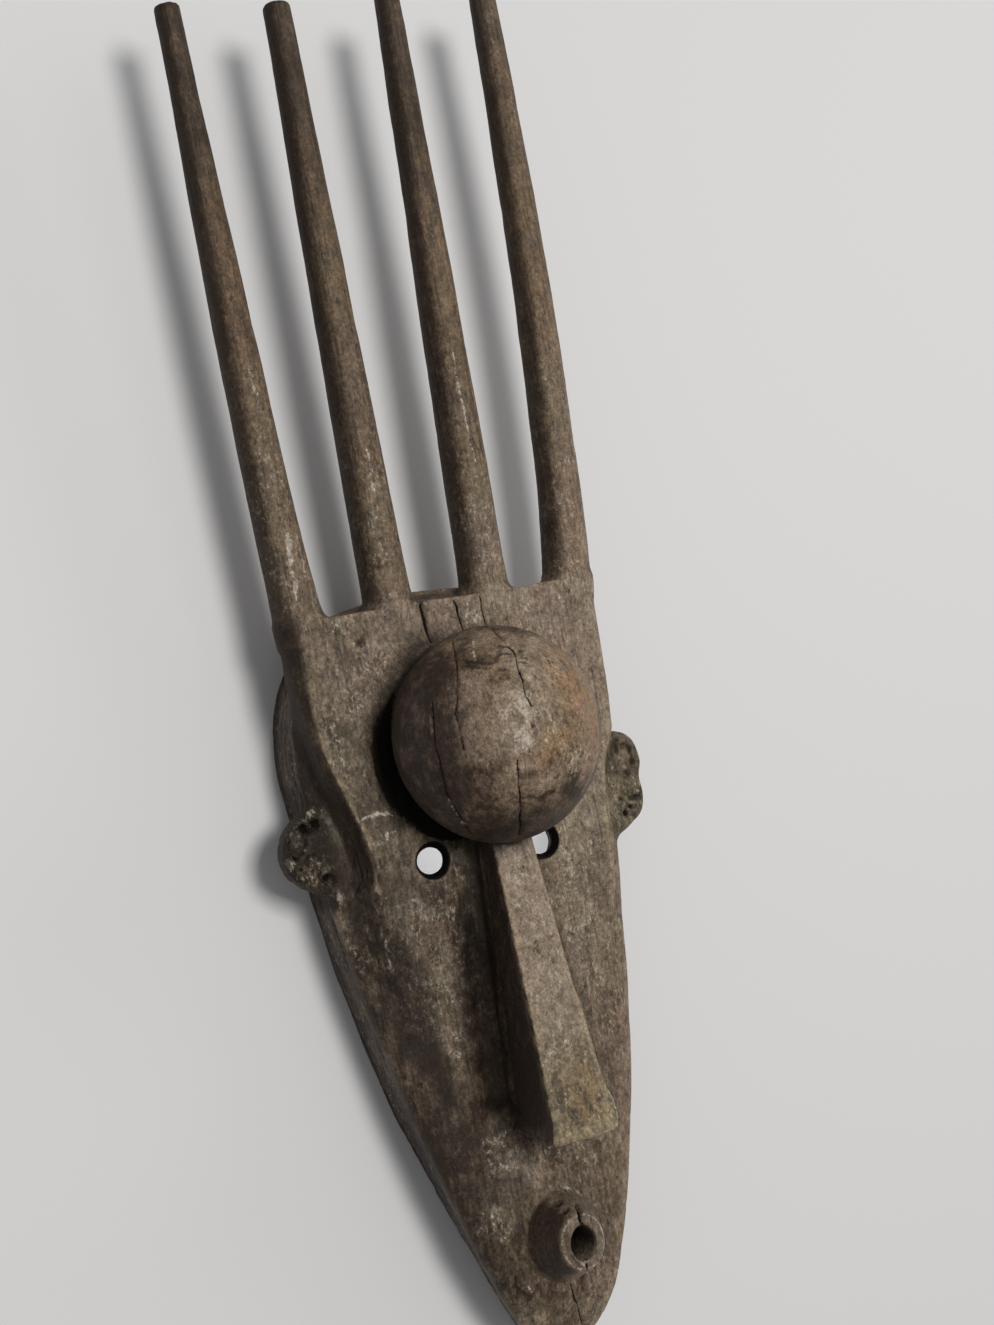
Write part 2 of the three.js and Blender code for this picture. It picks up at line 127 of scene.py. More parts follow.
# Half-widths at each height, listed from below: the helmet's widest line, its back rim and the board
JAW = ((CHIN_Y, 0), (-259, 14), (-253, 20), (-243, 26), (-226, 34), (-186, 47.5), (-121, 64.5),
       (-55, 77), (-12, 83), (ARCH_CENTRE_Y, 87))
JAW_RIM = ((CHIN_Y, 0), (-253, 8.5), (-226, 20), (-186, 35.5), (-121, 57.5), (-55, 71.5), (-8, 78),
           (ARCH_CENTRE_Y, ARCH_RIM_HALF_WIDTH))
BOARD_SIDE = ((BOARD_BOTTOM_Y, 52), (-55, 65), (-25, 71.5), (5, 74), (25, 77.5), (50, 82.8), (97, 88.3),
              (BOARD_TOP_Y, 90.3))


def smoothstep(x, low, high):
    t = np.clip((np.asarray(x, float) - low) / (high - low), 0, 1)
    return t * t * (3 - 2 * t)


def lerp(a, b, t):
    return a + (b - a) * t


def strongest(*layers):
    return functools.reduce(np.maximum, layers)


def through(pairs, y):
    """A smooth curve through (y, value) pairs, listed from the chin upwards."""
    ys, vs = np.array(pairs, float).T
    slopes = np.empty_like(vs)
    slopes[1:-1] = (vs[2:] - vs[:-2]) / (ys[2:] - ys[:-2])
    slopes[0] = (vs[1] - vs[0]) / (ys[1] - ys[0])
    slopes[-1] = (vs[-1] - vs[-2]) / (ys[-1] - ys[-2])
    y = np.clip(y, ys[0], ys[-1])
    i = np.clip(np.searchsorted(ys, y, side="right") - 1, 0, len(ys) - 2)
    span = ys[i + 1] - ys[i]
    t = (y - ys[i]) / span
    return ((2 * t**3 - 3 * t**2 + 1) * vs[i] + (t**3 - 2 * t**2 + t) * slopes[i] * span
            + (3 * t**2 - 2 * t**3) * vs[i + 1] + (t**3 - t**2) * slopes[i + 1] * span)


# Distance fields, on one grid of voxels round the mask
VOXEL = 1.0
LOW = np.array([-111.0, -270.0, -61.0])
HIGH = np.array([113.0, 455.0, 94.0])
COUNT = np.ceil((HIGH - LOW) / VOXEL).astype(int) + 1
REACH = 9.0
# The blurred fields that find worn edges and corners have every second voxel
COARSE = 2


def level_set(points, quads, triangles):
    """The index of the corner and the distance field, in mm, of the block around a closed mesh."""
    points = np.asarray(points, float)
    grid = openvdb.FloatGrid.createLevelSetFromPolygons(
        points=np.ascontiguousarray(points - LOW, dtype=np.float32),
        triangles=np.ascontiguousarray(triangles, dtype=np.uint32),
        quads=np.ascontiguousarray(quads, dtype=np.uint32),
        transform=openvdb.createLinearTransform(VOXEL),
        halfWidth=REACH / VOXEL,
    )
    start = np.clip(np.floor((points.min(0) - LOW - REACH) / VOXEL).astype(int), 0, COUNT)
    stop = np.clip(np.ceil((points.max(0) - LOW + REACH) / VOXEL).astype(int) + 1, 0, COUNT)
    field = np.empty(tuple(stop - start), np.float32)
    grid.copyToArray(field, ijk=tuple(int(n) for n in start))
    return start, field


def loft(sections):
    """Closed mesh through closed loops of equal length, with a fan at each end."""
    sections = np.asarray(sections, float)
    count, ring = sections.shape[:2]
    base = np.arange(count - 1)[:, None] * ring
    here = np.arange(ring)[None]
    after = (here + 1) % ring
    quads = np.stack([base + here, base + after, base + ring + after, base + ring + here], -1).reshape(-1, 4)
    points = np.concatenate([sections.reshape(-1, 3), sections[0].mean(0)[None], sections[-1].mean(0)[None]])
    first, last = count * ring, count * ring + 1
    end = (count - 1) * ring
    k = np.arange(ring)
    fan_a = np.stack([np.full(ring, first), (k + 1) % ring, k], -1)
    fan_b = np.stack([np.full(ring, last), end + k, end + (k + 1) % ring], -1)
    return points, quads, np.concatenate([fan_a, fan_b])


def block_grid(low, high):
    """The index range and the coordinates of the voxels in a box, in mm."""
    start = np.clip(np.floor((np.array(low) - LOW) / VOXEL).astype(int), 0, COUNT)
    stop = np.clip(np.ceil((np.array(high) - LOW) / VOXEL).astype(int) + 1, 0, COUNT)
    axes = [LOW[i] + VOXEL * np.arange(start[i], stop[i]) for i in range(3)]
    return start, [a.astype(np.float32) for a in np.meshgrid(*axes, indexing="ij", sparse=True)]


def part_of(field, start, shape):
    return field[tuple(slice(s, s + n) for s, n in zip(start, shape))]


def add(field, block, soft):
    """Union with a rounded fillet of about the given width, a number or one for each voxel along Y."""
    start, other = block
    view = part_of(field, start, other.shape)
    near = np.maximum(soft - np.abs(view - other), 0) / soft
    view[...] = np.minimum(view, other) - near * near * soft / 4


def cut(field, block, soft):
    """Takes a block's shape out, with an edge rounded by about the given width."""
    start, other = block
    view = part_of(field, start, other.shape)
    near = np.maximum(soft - np.abs(view + other), 0) / soft
    view[...] = np.maximum(view, -other) + near * near * soft / 4


# How finely the carved shapes are sliced
SECTIONS = 160
WALL_STEPS = 12
FRONT_STEPS = 48
BOARD_SECTIONS = 120
CORNER_STEPS = 8
HORN_SECTIONS = 150
HORN_SIDES = 48
NOSE_SECTIONS = 60


def outline_half_width(y, inset, jaw):
    low = np.maximum(through(jaw, np.minimum(y, ARCH_CENTRE_Y)) - inset, 1)
    rise = np.clip((y - ARCH_CENTRE_Y) / (ARCH_RADIUS - inset), 0, 1)
    arched = (jaw[-1][1] - inset) * (1 - rise**ARCH_FULLNESS) ** (1 / ARCH_FULLNESS)
    return np.where(y < ARCH_CENTRE_Y, low, np.maximum(arched, 1))


def front_height(y):
    """Where the helmet's front lies: it falls to the chin, and steps back behind the board and the horns."""
    fall = np.maximum(CHIN_FALL_START_Y - y, 0) / (CHIN_FALL_START_Y - CHIN_Y)
    step = BROW_STEP * smoothstep(y, 5, ARCH_CENTRE_Y) + CROWN_STEP * smoothstep(y, 120, 138)
    return -CHIN_FALL * fall**2.5 - step


def helmet(bottom, top, inset, face_inset, depth):
    """The shell's outer form, or with insets its hollow, from the chin up to the arch."""
    steps = np.arange(SECTIONS + 1) / SECTIONS
    y = lerp(bottom, top, 0.25 * steps + 0.75 * (1 - np.cos(steps * math.pi)) / 2)[:, None]
    widest = outline_half_width(y, inset, JAW)
    rim = outline_half_width(y, inset, JAW_RIM)
    front = front_height(y) - face_inset
    widest_depth = lerp(CHIN_WIDEST_DEPTH, CHEEK_WIDEST_DEPTH, smoothstep(y, -200, -20))
    widest_z = np.minimum(-widest_depth, front - 4)
    square = lerp(CHIN_SQUARENESS, CHEEK_SQUARENESS, smoothstep(y, CHIN_Y, -120))
    t = 1 - np.arange(WALL_STEPS)[None] / WALL_STEPS
    wall = np.stack([widest - (widest - rim) * t**WALL_CURVE, widest_z - (depth + widest_z) * t], -1)
    angle = np.arange(FRONT_STEPS + 1)[None] / FRONT_STEPS * math.pi / 2
    cos, sin = np.maximum(np.cos(angle), 0), np.sin(angle)
    over = np.stack([widest * cos ** (2 / square), widest_z + (front - widest_z) * sin ** (2 / square)], -1)
    right = np.concatenate([wall, over], 1)
    left = right[:, :-1][:, ::-1] * (-1, 1)
    xz = np.concatenate([right, left], 1)
    sections = np.stack([xz[..., 0], np.broadcast_to(y, xz.shape[:2]), xz[..., 1]], -1)
    return level_set(*loft(sections))


def board():
    y = np.linspace(BOARD_TOP_Y, BOARD_BOTTOM_Y, BOARD_SECTIONS)
    dip = np.maximum(BOARD_DIP_START_Y - y, 0) / (BOARD_DIP_START_Y - BOARD_BOTTOM_Y)
    front = BOARD_FRONT - BOARD_DIP * dip**2
    corner = BOARD_CORNER_LOSS / 2 * smoothstep(y, 98, 124)
    half = through(BOARD_SIDE, y) - corner
    shift = BOARD_SHIFT_TOP * smoothstep(y, -40, 50) + corner
    radius = lerp(BOARD_EDGE_RADIUS, BOARD_CORNER_RADIUS, smoothstep(y, 45, 118))
    radius = np.minimum(radius, (front - BOARD_BACK) / 2 - 0.1)
    turns = np.arange(CORNER_STEPS + 1) / CORNER_STEPS * 90
    loops = []
    for side, face, start in ((1, -1, -90), (1, 1, 0), (-1, 1, 90), (-1, -1, 180)):
        angle = np.radians(start + turns)[None]
        centre_x = (side * (half - radius) + shift)[:, None]
        centre_z = (front - radius if face > 0 else BOARD_BACK + radius)[:, None]
        x = centre_x + radius[:, None] * np.cos(angle)
        z = centre_z + radius[:, None] * np.sin(angle)
        loops.append(np.stack([x, np.broadcast_to(y[:, None], x.shape), z], -1))
    return level_set(*loft(np.concatenate(loops, 1)))


def horn(shape):
    base_x, tip_x, tip_y, bow, base_width, tip_width, flare_side = shape
    along = np.concatenate([np.linspace(0, 1, HORN_SECTIONS), [1, 1]])[:, None]
    blunting = np.concatenate([np.zeros(HORN_SECTIONS), HORN_TIP_RISE])[:, None]
    inset = np.concatenate([np.zeros(HORN_SECTIONS), HORN_TIP_INSET])[:, None]
    x = lerp(base_x, tip_x, along) + bow * np.sin(math.pi * along**0.9)
    y = lerp(HORN_BASE_Y, tip_y - 2, along)
    z = lerp(HORN_BASE_Z, HORN_TIP_Z, along)
    taper = base_width + (tip_width - base_width) * along**1.4
    flare = 1 + HORN_FLARE * np.exp(-along / HORN_FLARE_LENGTH)
    radius = taper / 2 * flare - inset
    x = x + flare_side * taper / 2 * (flare - 1)
    half_depth = lerp(HORN_FOOT_HALF_DEPTH, radius, smoothstep(along, 0, 0.2))
    angle = np.arange(HORN_SIDES)[None] / HORN_SIDES * 2 * math.pi
    rings = [x + radius * np.cos(angle), (y + blunting) + 0 * angle, z + half_depth * np.sin(angle)]
    return level_set(*loft(np.stack(rings, -1)))


def nose():
    along = np.linspace(0, 1, NOSE_SECTIONS)
    shift = lerp(*NOSE_SHIFT, along)
    half = lerp(*NOSE_HALF_WIDTH, along) + 1.5 * along**8
    # The right edge steps out twice on its way down, and in again at the foot
    step = 1.1 * smoothstep(along, 0.56, 0.60) + 2.2 * smoothstep(along, 0.86, 0.92)
    step = step - 2.6 * smoothstep(along, 0.955, 1)
    half = half - NOSE_EDGE_RADIUS
    front_z = lerp(*NOSE_FRONT_Z, along) - NOSE_EDGE_RADIUS
    front_y = lerp(NOSE_TOP_Y, NOSE_TIP_Y + NOSE_EDGE_RADIUS, along)
    root_y = lerp(NOSE_TOP_Y, NOSE_FOOT_Y, along)
    root_z = NOSE_ROOT_Z + 0 * along
    right, left = shift + half, shift - half
    crown = 0.7
    loops = []
    for x, y, z in ((right + step, root_y, root_z), (right + step - 0.8, front_y, front_z - 0.4),
                    (shift, front_y, front_z + crown), (left, front_y, front_z - 0.2),
                    (left, root_y, root_z)):
        loops.append(np.stack([x, y, z], -1))
    start, field = level_set(*loft(np.stack(loops, 1)))
    return start, field - NOSE_EDGE_RADIUS


def turned(profile, x, y, sides=64):
    """A turned shape about Z from rings of (radius along X, radius along Y, z)."""
    radius_x, radius_y, z = (np.array(column)[:, None] for column in zip(*profile))
    angle = np.arange(sides) / sides * 2 * math.pi
    rings = np.stack([x + radius_x * np.cos(angle), y + radius_y * np.sin(angle), z + 0 * angle], -1)
    return level_set(*loft(rings))


def spline(points, steps=8):
    """Points along a smooth curve through the given ones."""
    p = np.array(points, float)
    p = np.concatenate([2 * p[:1] - p[1:2], p, 2 * p[-1:] - p[-2:-1]])
    t = (np.arange(steps) / steps)[:, None]
    parts = []
    for a, b, c, d in zip(p[:-3], p[1:-2], p[2:-1], p[3:]):
        parts.append(0.5 * (2 * b + (c - a) * t + (2 * a - 5 * b + 4 * c - d) * t**2
                            + (3 * b - a - 3 * c + d) * t**3))
    return np.concatenate(parts + [p[-2:-1]])


def outline_distance(x, y, outline):
    """Signed distance to a closed outline in the plane, negative inside."""
    best = np.float32(1e9)
    inside = np.zeros(np.broadcast(x, y).shape, bool)
    for a, b in zip(outline, np.roll(outline, -1, 0)):
        d = b - a
        t = np.clip(((x - a[0]) * d[0] + (y - a[1]) * d[1]) / (d @ d), 0, 1)
        best = np.minimum(best, (x - a[0] - t * d[0]) ** 2 + (y - a[1] - t * d[1]) ** 2)
        if a[1] != b[1]:
            crosses = (y < a[1]) != (y < b[1])
            inside ^= crosses & (x < a[0] + (y - a[1]) / (b[1] - a[1]) * (b[0] - a[0]))
    return np.sqrt(best) * np.where(inside, -1, 1)


def ear(side):
    outline = spline(EAR_OUTLINES[side]) * (side, 1)
    low, high = outline.min(0), outline.max(0)
    deep = EAR_HALF_DEPTH + REACH
    start, (x, y, z) = block_grid((low[0] - REACH, low[1] - REACH, EAR_MIDDLE_Z - deep),
                                  (high[0] + REACH, high[1] + REACH, EAR_MIDDLE_Z + deep))
    flat = outline_distance(x, y, outline) + EAR_ROUNDING
    thick = np.abs(z - EAR_MIDDLE_Z) - EAR_HALF_DEPTH + EAR_ROUNDING
    gap = np.sqrt(np.maximum(flat, 0) ** 2 + np.maximum(thick, 0) ** 2)
    gap = gap + np.minimum(np.maximum(flat, thick), 0)
    return start, (gap - EAR_ROUNDING).astype(np.float32)


def ball_shape(centre, radii):
    centre, radii = np.array(centre, float), np.array(radii, float) * np.ones(3)
    margin = radii + REACH
    start, (x, y, z) = block_grid(centre - margin, centre + margin)
    scaled = np.sqrt(((x - centre[0]) / radii[0]) ** 2 + ((y - centre[1]) / radii[1]) ** 2
                     + ((z - centre[2]) / radii[2]) ** 2)
    return start, ((scaled - 1) * radii.min()).astype(np.float32)


def rod(points, radius):
    """Distance field of a round rod along a line of points."""
    points = np.array(points, float)
    start, (x, y, z) = block_grid(points.min(0) - radius - REACH, points.max(0) + radius + REACH)
    best = np.float32(1e9)
    for a, b in zip(points[:-1], points[1:]):
        d = b - a
        t = np.clip(((x - a[0]) * d[0] + (y - a[1]) * d[1] + (z - a[2]) * d[2]) / (d @ d), 0, 1)
        gap = (x - a[0] - t * d[0]) ** 2 + (y - a[1] - t * d[1]) ** 2 + (z - a[2] - t * d[2]) ** 2
        best = np.minimum(best, gap)
    return start, (np.sqrt(best) - radius).astype(np.float32)


# Hollows in the ears, the left one's first, from the top: a middle line or a centre, radius and softness
EAR_HOLLOWS = (
    (((-94.0, 27.4, -9.4), (-86.2, 29.9, -8.2)), 2.9, 1.5),
    ((-96.5, 22.5, -7.5), (4.0, 6.0, 4.0), 3.0),
    ((-90.5, 10.5, -7.5), (5.5, 3.5, 3.5), 2.5),
    (((-86.6, 3.4, -8.6), (-82.4, 0.4, -8.8)), 2.7, 1.5),
    ((93.5, 31.0, -6.0), (7.0, 9.0, 5.0), 3.0),
    ((92.5, 4.5, -6.6), (7.0, 7.0, 4.6), 4.0),
)
# A shallow valley runs down each side of the nose, and the left one ends in a pit
NOSE_VALLEYS = (
    (((-13, 0, 13.4), (-18.5, -70, 10.8), (-24, -132, 10.2)), 12.5, 5.0),
    (((21, 0, 14.0), (23.5, -70, 11.6), (26, -128, 11.2)), 12.5, 5.0),
)
NOSE_PIT = ((-18.5, -133.5, 4.5), (6.0, 7.5, 7.5), 2.5)
# The rim of the mouth is broken through at the foot of the bore
RIM_NOTCH = (((1.4, -208.5, 21.2), (0.4, -216.0, 20.4)), 1.7, 0.8)
# The board swells up to the ball above it and on its left shoulder
BOARD_SWELLING = ((-10.0, 88.0, -2.0), (40.0, 22.0, 17.0), 9.0)
# Turned forms, as radius along X, radius along Y and height; the holes' ovals scale one radius
MOUTH_RINGS = ((21.2, 22.6, -8), (21.2, 22.6, -1), (20.2, 21.6, 3), (17.0, 18.6, 10), (13.8, 15.7, 17.5),
               (12.2, 14.1, 20.3), (11.6, 13.4, 21), (6, 6, 21))
BORE_RINGS = ((7.4, -RIM_DEPTH - 4), (7.4, 10), (7.7, 19), (8.0, 21), (9.0, 26))
EYE_RINGS = ((12, -30), (12, -13), (7.3, -1.5), (7.3, -0.5), (9.6, 3.3), (9.8, 12))
# How wide the fillets and the rounded edges between the forms are
SOFT = {"helmet": 0.5, "board": 4.0, "board top": 14.0, "horn": 4.0, "ball": 1.5, "cheek": 2.0, "ear": 3.5,
        "nose": 1.2, "mouth": 1.6, "hollow": 2.5, "bore": 0.5, "eye": 0.6, "rim": 1.6}


def scoop(field, place, radius, soft):
    """Takes a round groove along a line, or a ball at a point, out of the field."""
    cut(field, (rod if np.ndim(place) == 2 else ball_shape)(place, radius), soft)


def hole(field, rings, oval, x, y, soft):
    cut(field, turned([(oval[0] * r, oval[1] * r, z) for r, z in rings], x, y), soft)


def carve():
    field = np.full(tuple(COUNT), REACH, np.float32)
    arch_top = ARCH_CENTRE_Y + ARCH_RADIUS
    add(field, helmet(CHIN_Y, arch_top, 0, 0, RIM_DEPTH + 6), SOFT["helmet"])
    plank = board()
    heights = LOW[1] + VOXEL * (plank[0][1] + np.arange(plank[1].shape[1]))
    soft = lerp(SOFT["board"], SOFT["board top"], smoothstep(heights, 112, 126))
    add(field, plank, soft.astype(np.float32)[None, :, None])
    for shape in HORNS:
        add(field, horn(shape), SOFT["horn"])
    centre, radii, soft = BOARD_SWELLING
    add(field, ball_shape(centre, radii), soft)
    add(field, ball_shape(BALL_CENTRE, BALL_RADII), SOFT["ball"])
    for path in CHEEK_CUTS:
        scoop(field, path, CHEEK_CUT_RADIUS, SOFT["cheek"])
    for side in (-1, 1):
        add(field, ear(side), SOFT["ear"])
    for place, radius, soft in EAR_HOLLOWS + NOSE_VALLEYS:
        scoop(field, place, radius, soft)
    add(field, nose(), SOFT["nose"])
    scoop(field, *NOSE_PIT)
    add(field, turned(MOUTH_RINGS, MOUTH_X, MOUTH_Y), SOFT["mouth"])
    hollow = helmet(CHIN_Y + 12, arch_top - WALL, WALL, FACE_THICKNESS, RIM_DEPTH + 20)
    cut(field, hollow, SOFT["hollow"])
    hole(field, BORE_RINGS, BORE_OVAL, MOUTH_X, BORE_Y, SOFT["bore"])
    scoop(field, *RIM_NOTCH)
    for x, y in EYES:
        hole(field, EYE_RINGS, EYE_OVAL, x, y, SOFT["eye"])
    start, (_, _, z) = block_grid(LOW, HIGH)
    cut(field, (start, np.broadcast_to(z + RIM_DEPTH, field.shape)), SOFT["rim"])
    return field


def hashed(i, j, k, seed):
    """A scattered value from -1 to 1 for each cell of a grid."""
    n = (i * 73856093) ^ (j * 19349663) ^ (k * 83492791) ^ (seed * 2654435761)
    n = (n ^ (n >> 13)) * 1274126177 & 0x7FFFFFFF
    n = (n ^ (n >> 16)) & 0xFFFF
    return n.astype(np.float32) / 32767.5 - 1


def noise(points, size, seed):
    """Smooth values from -1 to 1 that vary over the given sizes along X, Y and Z, in mm."""
    p = points / np.array(size, float)
    cell = np.floor(p).astype(np.int64)
    f = (p - cell).astype(np.float32)
    f = f * f * (3 - 2 * f)
    total = np.zeros(len(p), np.float32)
    for corner in range(8):
        dx, dy, dz = corner & 1, corner >> 1 & 1, corner >> 2
        weight = ((f[:, 0] if dx else 1 - f[:, 0]) * (f[:, 1] if dy else 1 - f[:, 1])
                  * (f[:, 2] if dz else 1 - f[:, 2]))
        total += weight * hashed(cell[:, 0] + dx, cell[:, 1] + dy, cell[:, 2] + dz, SEED + seed)
    return total


def line_distance(points, line):
    """Distance of each point to a line of points, and how far along the line it falls, from 0 to 1."""
    line = np.array(line, float)
    best = np.full(len(points), 1e9)
    place = np.zeros(len(points))
    lengths = np.linalg.norm(np.diff(line, axis=0), axis=1)
    done = np.concatenate([[0], np.cumsum(lengths)])
    for i, (a, b) in enumerate(zip(line[:-1], line[1:])):
        d = b - a
        t = np.clip((points - a) @ d / (d @ d), 0, 1)
        gap = np.linalg.norm(points - a - t[:, None] * d, axis=1)
        nearer = gap < best
        best = np.where(nearer, gap, best)
        place = np.where(nearer, (done[i] + t * lengths[i]) / done[-1], place)
    return best, place


def scallops(points, size, seed):
    """Cupped gouge marks: 0 at the middle of each mark and rising to its rim."""
    p = points / np.array(size, float)
    cell = np.floor(p).astype(np.int64)
    best = np.full(len(p), 9.0, np.float32)
    for dx in (-1, 0, 1):
        for dy in (-1, 0, 1):
            for dz in (-1, 0, 1):
                i, j, k = cell[:, 0] + dx, cell[:, 1] + dy, cell[:, 2] + dz
                jitter = [0.5 + 0.42 * hashed(i, j, k, SEED + seed + n) for n in (0, 7, 13)]
                gap = sum((c + shift - q) ** 2 for c, shift, q in zip((i, j, k), jitter, p.T))
                best = np.minimum(best, gap.astype(np.float32))
    return np.minimum(best, 1.0)


# Marks of age, as lines on the surface. Each drying crack has its line, its half-width and its depth,
# in mm, and how dark it is.
CRACKS = (
    (((-11.6, 129.5, 1), (-11.6, 126, 3.5), (-11.2, 120, 3.5), (-11.3, 114, 3.5),
      (-11, 105.5, 3.5)), 1.15, 3.2, 1.0),
    (((6.4, 129.5, 1.5), (6.7, 127.8, 3.5), (8.3, 121, 3.5), (8.6, 113, 3.5),
      (9, 109, 3.5)), 0.85, 1.2, 1.0),
    (((21.8, 129.5, 1.2), (22.1, 125.4, 3.5), (22, 118.9, 3.5), (22.3, 113.2, 3.5),
      (22.8, 108, 3.5)), 0.75, 0.9, 0.8),
    (((0.7, 109.2, 46), (0.5, 106.3, 55.2), (-0.5, 101.9, 63.3), (-0.7, 98.3, 68.1), (0, 94.2, 72.7),
      (-1, 91, 75.2), (-3, 83.9, 79.8), (-3.7, 75.9, 83.5), (-4.1, 71.1, 85),
      (-3, 66, 86.3)), 0.7, 1.2, 0.88),
    (((-41, 76.9, 59.2), (-42.7, 70.2, 60.8), (-44.1, 65.3, 60.5), (-44.6, 59.3, 60.7), (-44.4, 50.7, 60.5),
      (-43, 40, 58.5), (-41, 33, 56), (-37.5, 24.6, 53.5), (-31, 15.8, 48.8),
      (-25.3, 10, 41.2)), 0.7, 1.1, 0.78),
    (((-18, 105.5, 46.5), (-25.6, 94.9, 61.1), (-29, 88, 65.8), (-32, 81.3, 68.4), (-33.2, 76.2, 70.1),
      (-35.3, 69.7, 70.8), (-36.1, 59.4, 72.2), (-35.8, 52.5, 72.4)), 0.7, 0.9, 0.74),
    (((-14.8, 42.8, 83.1), (-14.2, 34.6, 80.4), (-12.8, 23.6, 74.5), (-10.9, 15.3, 67),
      (-6.1, 5.7, 52.3)), 1.0, 1.6, 0.9),
    (((1.3, -209.4, 20.4), (1, -212.6, 19.6), (0.4, -215.4, 16.6)), 0.9, 1.0, 1.0),
    (((1.2, -226.5, -4.4), (3.4, -235.7, -7.4), (6.2, -245.3, -11.3), (8, -252, -15)), 0.9, 1.4, 0.9),
    (((3.9, -183.6, 12.7), (2.9, -185.6, 17), (1.8, -187.8, 21), (1.6, -190.9, 21),
      (1.6, -194, 20)), 1.4, 4.0, 1.0),
)
# Short cuts across the grain, wider and ragged: line, half-width and depth
GOUGES = (
    (((-23.7, 94.8, 63), (-22.5, 93, 65.8), (-19.1, 91.9, 69.2), (-16.7, 90.7, 71.6), (-13, 90.1, 73.6),
      (-10.8, 91.4, 73.2)), 1.1, 0.9),
    (((-11.5, 89.4, 74.4), (-9.5, 92.7, 72.5), (-6.9, 93.9, 72.2), (-5.4, 96, 70.6)), 1.25, 0.8),
    (((-5.4, 97.9, 68.6), (-3.2, 97, 69.4), (0.2, 96.4, 70.3)), 1.15, 0.7),
    (((-22.3, 90.2, 69), (-20, 88.6, 71.7), (-15.8, 88, 74.5), (-12.9, 88.7, 74.9)), 0.8, 0.7),
    (((-7.9, 95.3, 70.6), (-7.1, 93.1, 72.8), (-4.1, 93.5, 72.8), (-1.5, 92.5, 73.9)), 0.8, 0.7),
    (((-12.2, 86.6, 76.4), (-10.3, 85.3, 77.8), (-8.4, 85.8, 78.1)), 0.8, 0.5),
    (((2, 94.3, 72.5), (4.2, 93, 73.4)), 1.3, 0.6),
    (((1.6, 90.5, 75.6), (4.4, 88.6, 76.9)), 1.0, 0.5),
    (((-0.6, 88.5, 77.2), (2.9, 87.4, 77.8)), 0.9, 0.5),
    (((-11.8, 24.1, 75.1), (-8.5, 24.1, 76.1), (-2.4, 22.9, 76), (3.6, 24.5, 77.2),
      (5.9, 26.1, 78)), 1.7, 1.0),
    (((-29, -214.1, -4.7), (-27.9, -221.9, -5.3), (-22.2, -225.6, -5.3), (-24.5, -230.5, -7)), 1.8, 1.4),
    (((-7.2, -203.8, 21), (-5.9, -208, 21), (-4.6, -210.6, 20.8), (-1, -214.4, 17.4)), 0.9, 1.2),
    (((-65.5, -8, 1), (-64.9, -16, 2.5), (-63.6, -24, 1.9)), 1.7, 1.2),
    (((-64.4, -26, 1.5), (-62.6, -32.3, 1.4), (-61.8, -40.6, 0.6)), 1.8, 1.3),
    (((-68.8, 2, 0.6), (-67.4, -6.3, 1.2)), 1.3, 0.9),
)
# Small pits and knot holes: centre, radius and depth
PITS = (
    ((-3.2, -181.4, 7), 3.4, 2.6), ((-3.5, -185.1, 14.3), 2.3, 2.2), ((95.8, 36.5, -12), 2.6, 2.4),
    ((-75.1, 181, 2), 1.6, 1.0), ((-36.7, -10.5, 2.9), 1.4, 0.9), ((-68.6, -66.8, -6.3), 1.8, 1.2),
    ((-59.4, -108.4, -4.7), 1.9, 1.3), ((-65.7, -103, -7.8), 1.7, 1.0), ((-48.3, 113.6, 3.5), 3.0, 0.7),
    ((-90.5, 28.5, -12.2), 3.0, 1.8), ((-86, 30, -11), 2.2, 1.2), ((-84.5, 2, -11.4), 2.6, 1.4),
    ((94, 3.5, -12.5), 2.6, 1.6), ((-5, 57.2, 86.9), 1.8, 0.8), ((-100.4, 22.9, -9.5), 2.6, 1.7),
    ((-98.6, 15.8, -9), 2.3, 1.6), ((-93.2, 21.3, -9), 1.9, 1.3), ((-96.5, 9.5, -9), 1.6, 1.2),
    ((89.9, 1.2, -10), 2.6, 1.4),
)
# The middle of the bark-like ridge below the left eye, as height and distance from the middle
BARK_RIDGE = ((-60, -57.6), (-40, -64), (-22, -66.3), (-9, -67), (4, -64.3), (16, -65.2), (30, -70),
              (40, -72.8))
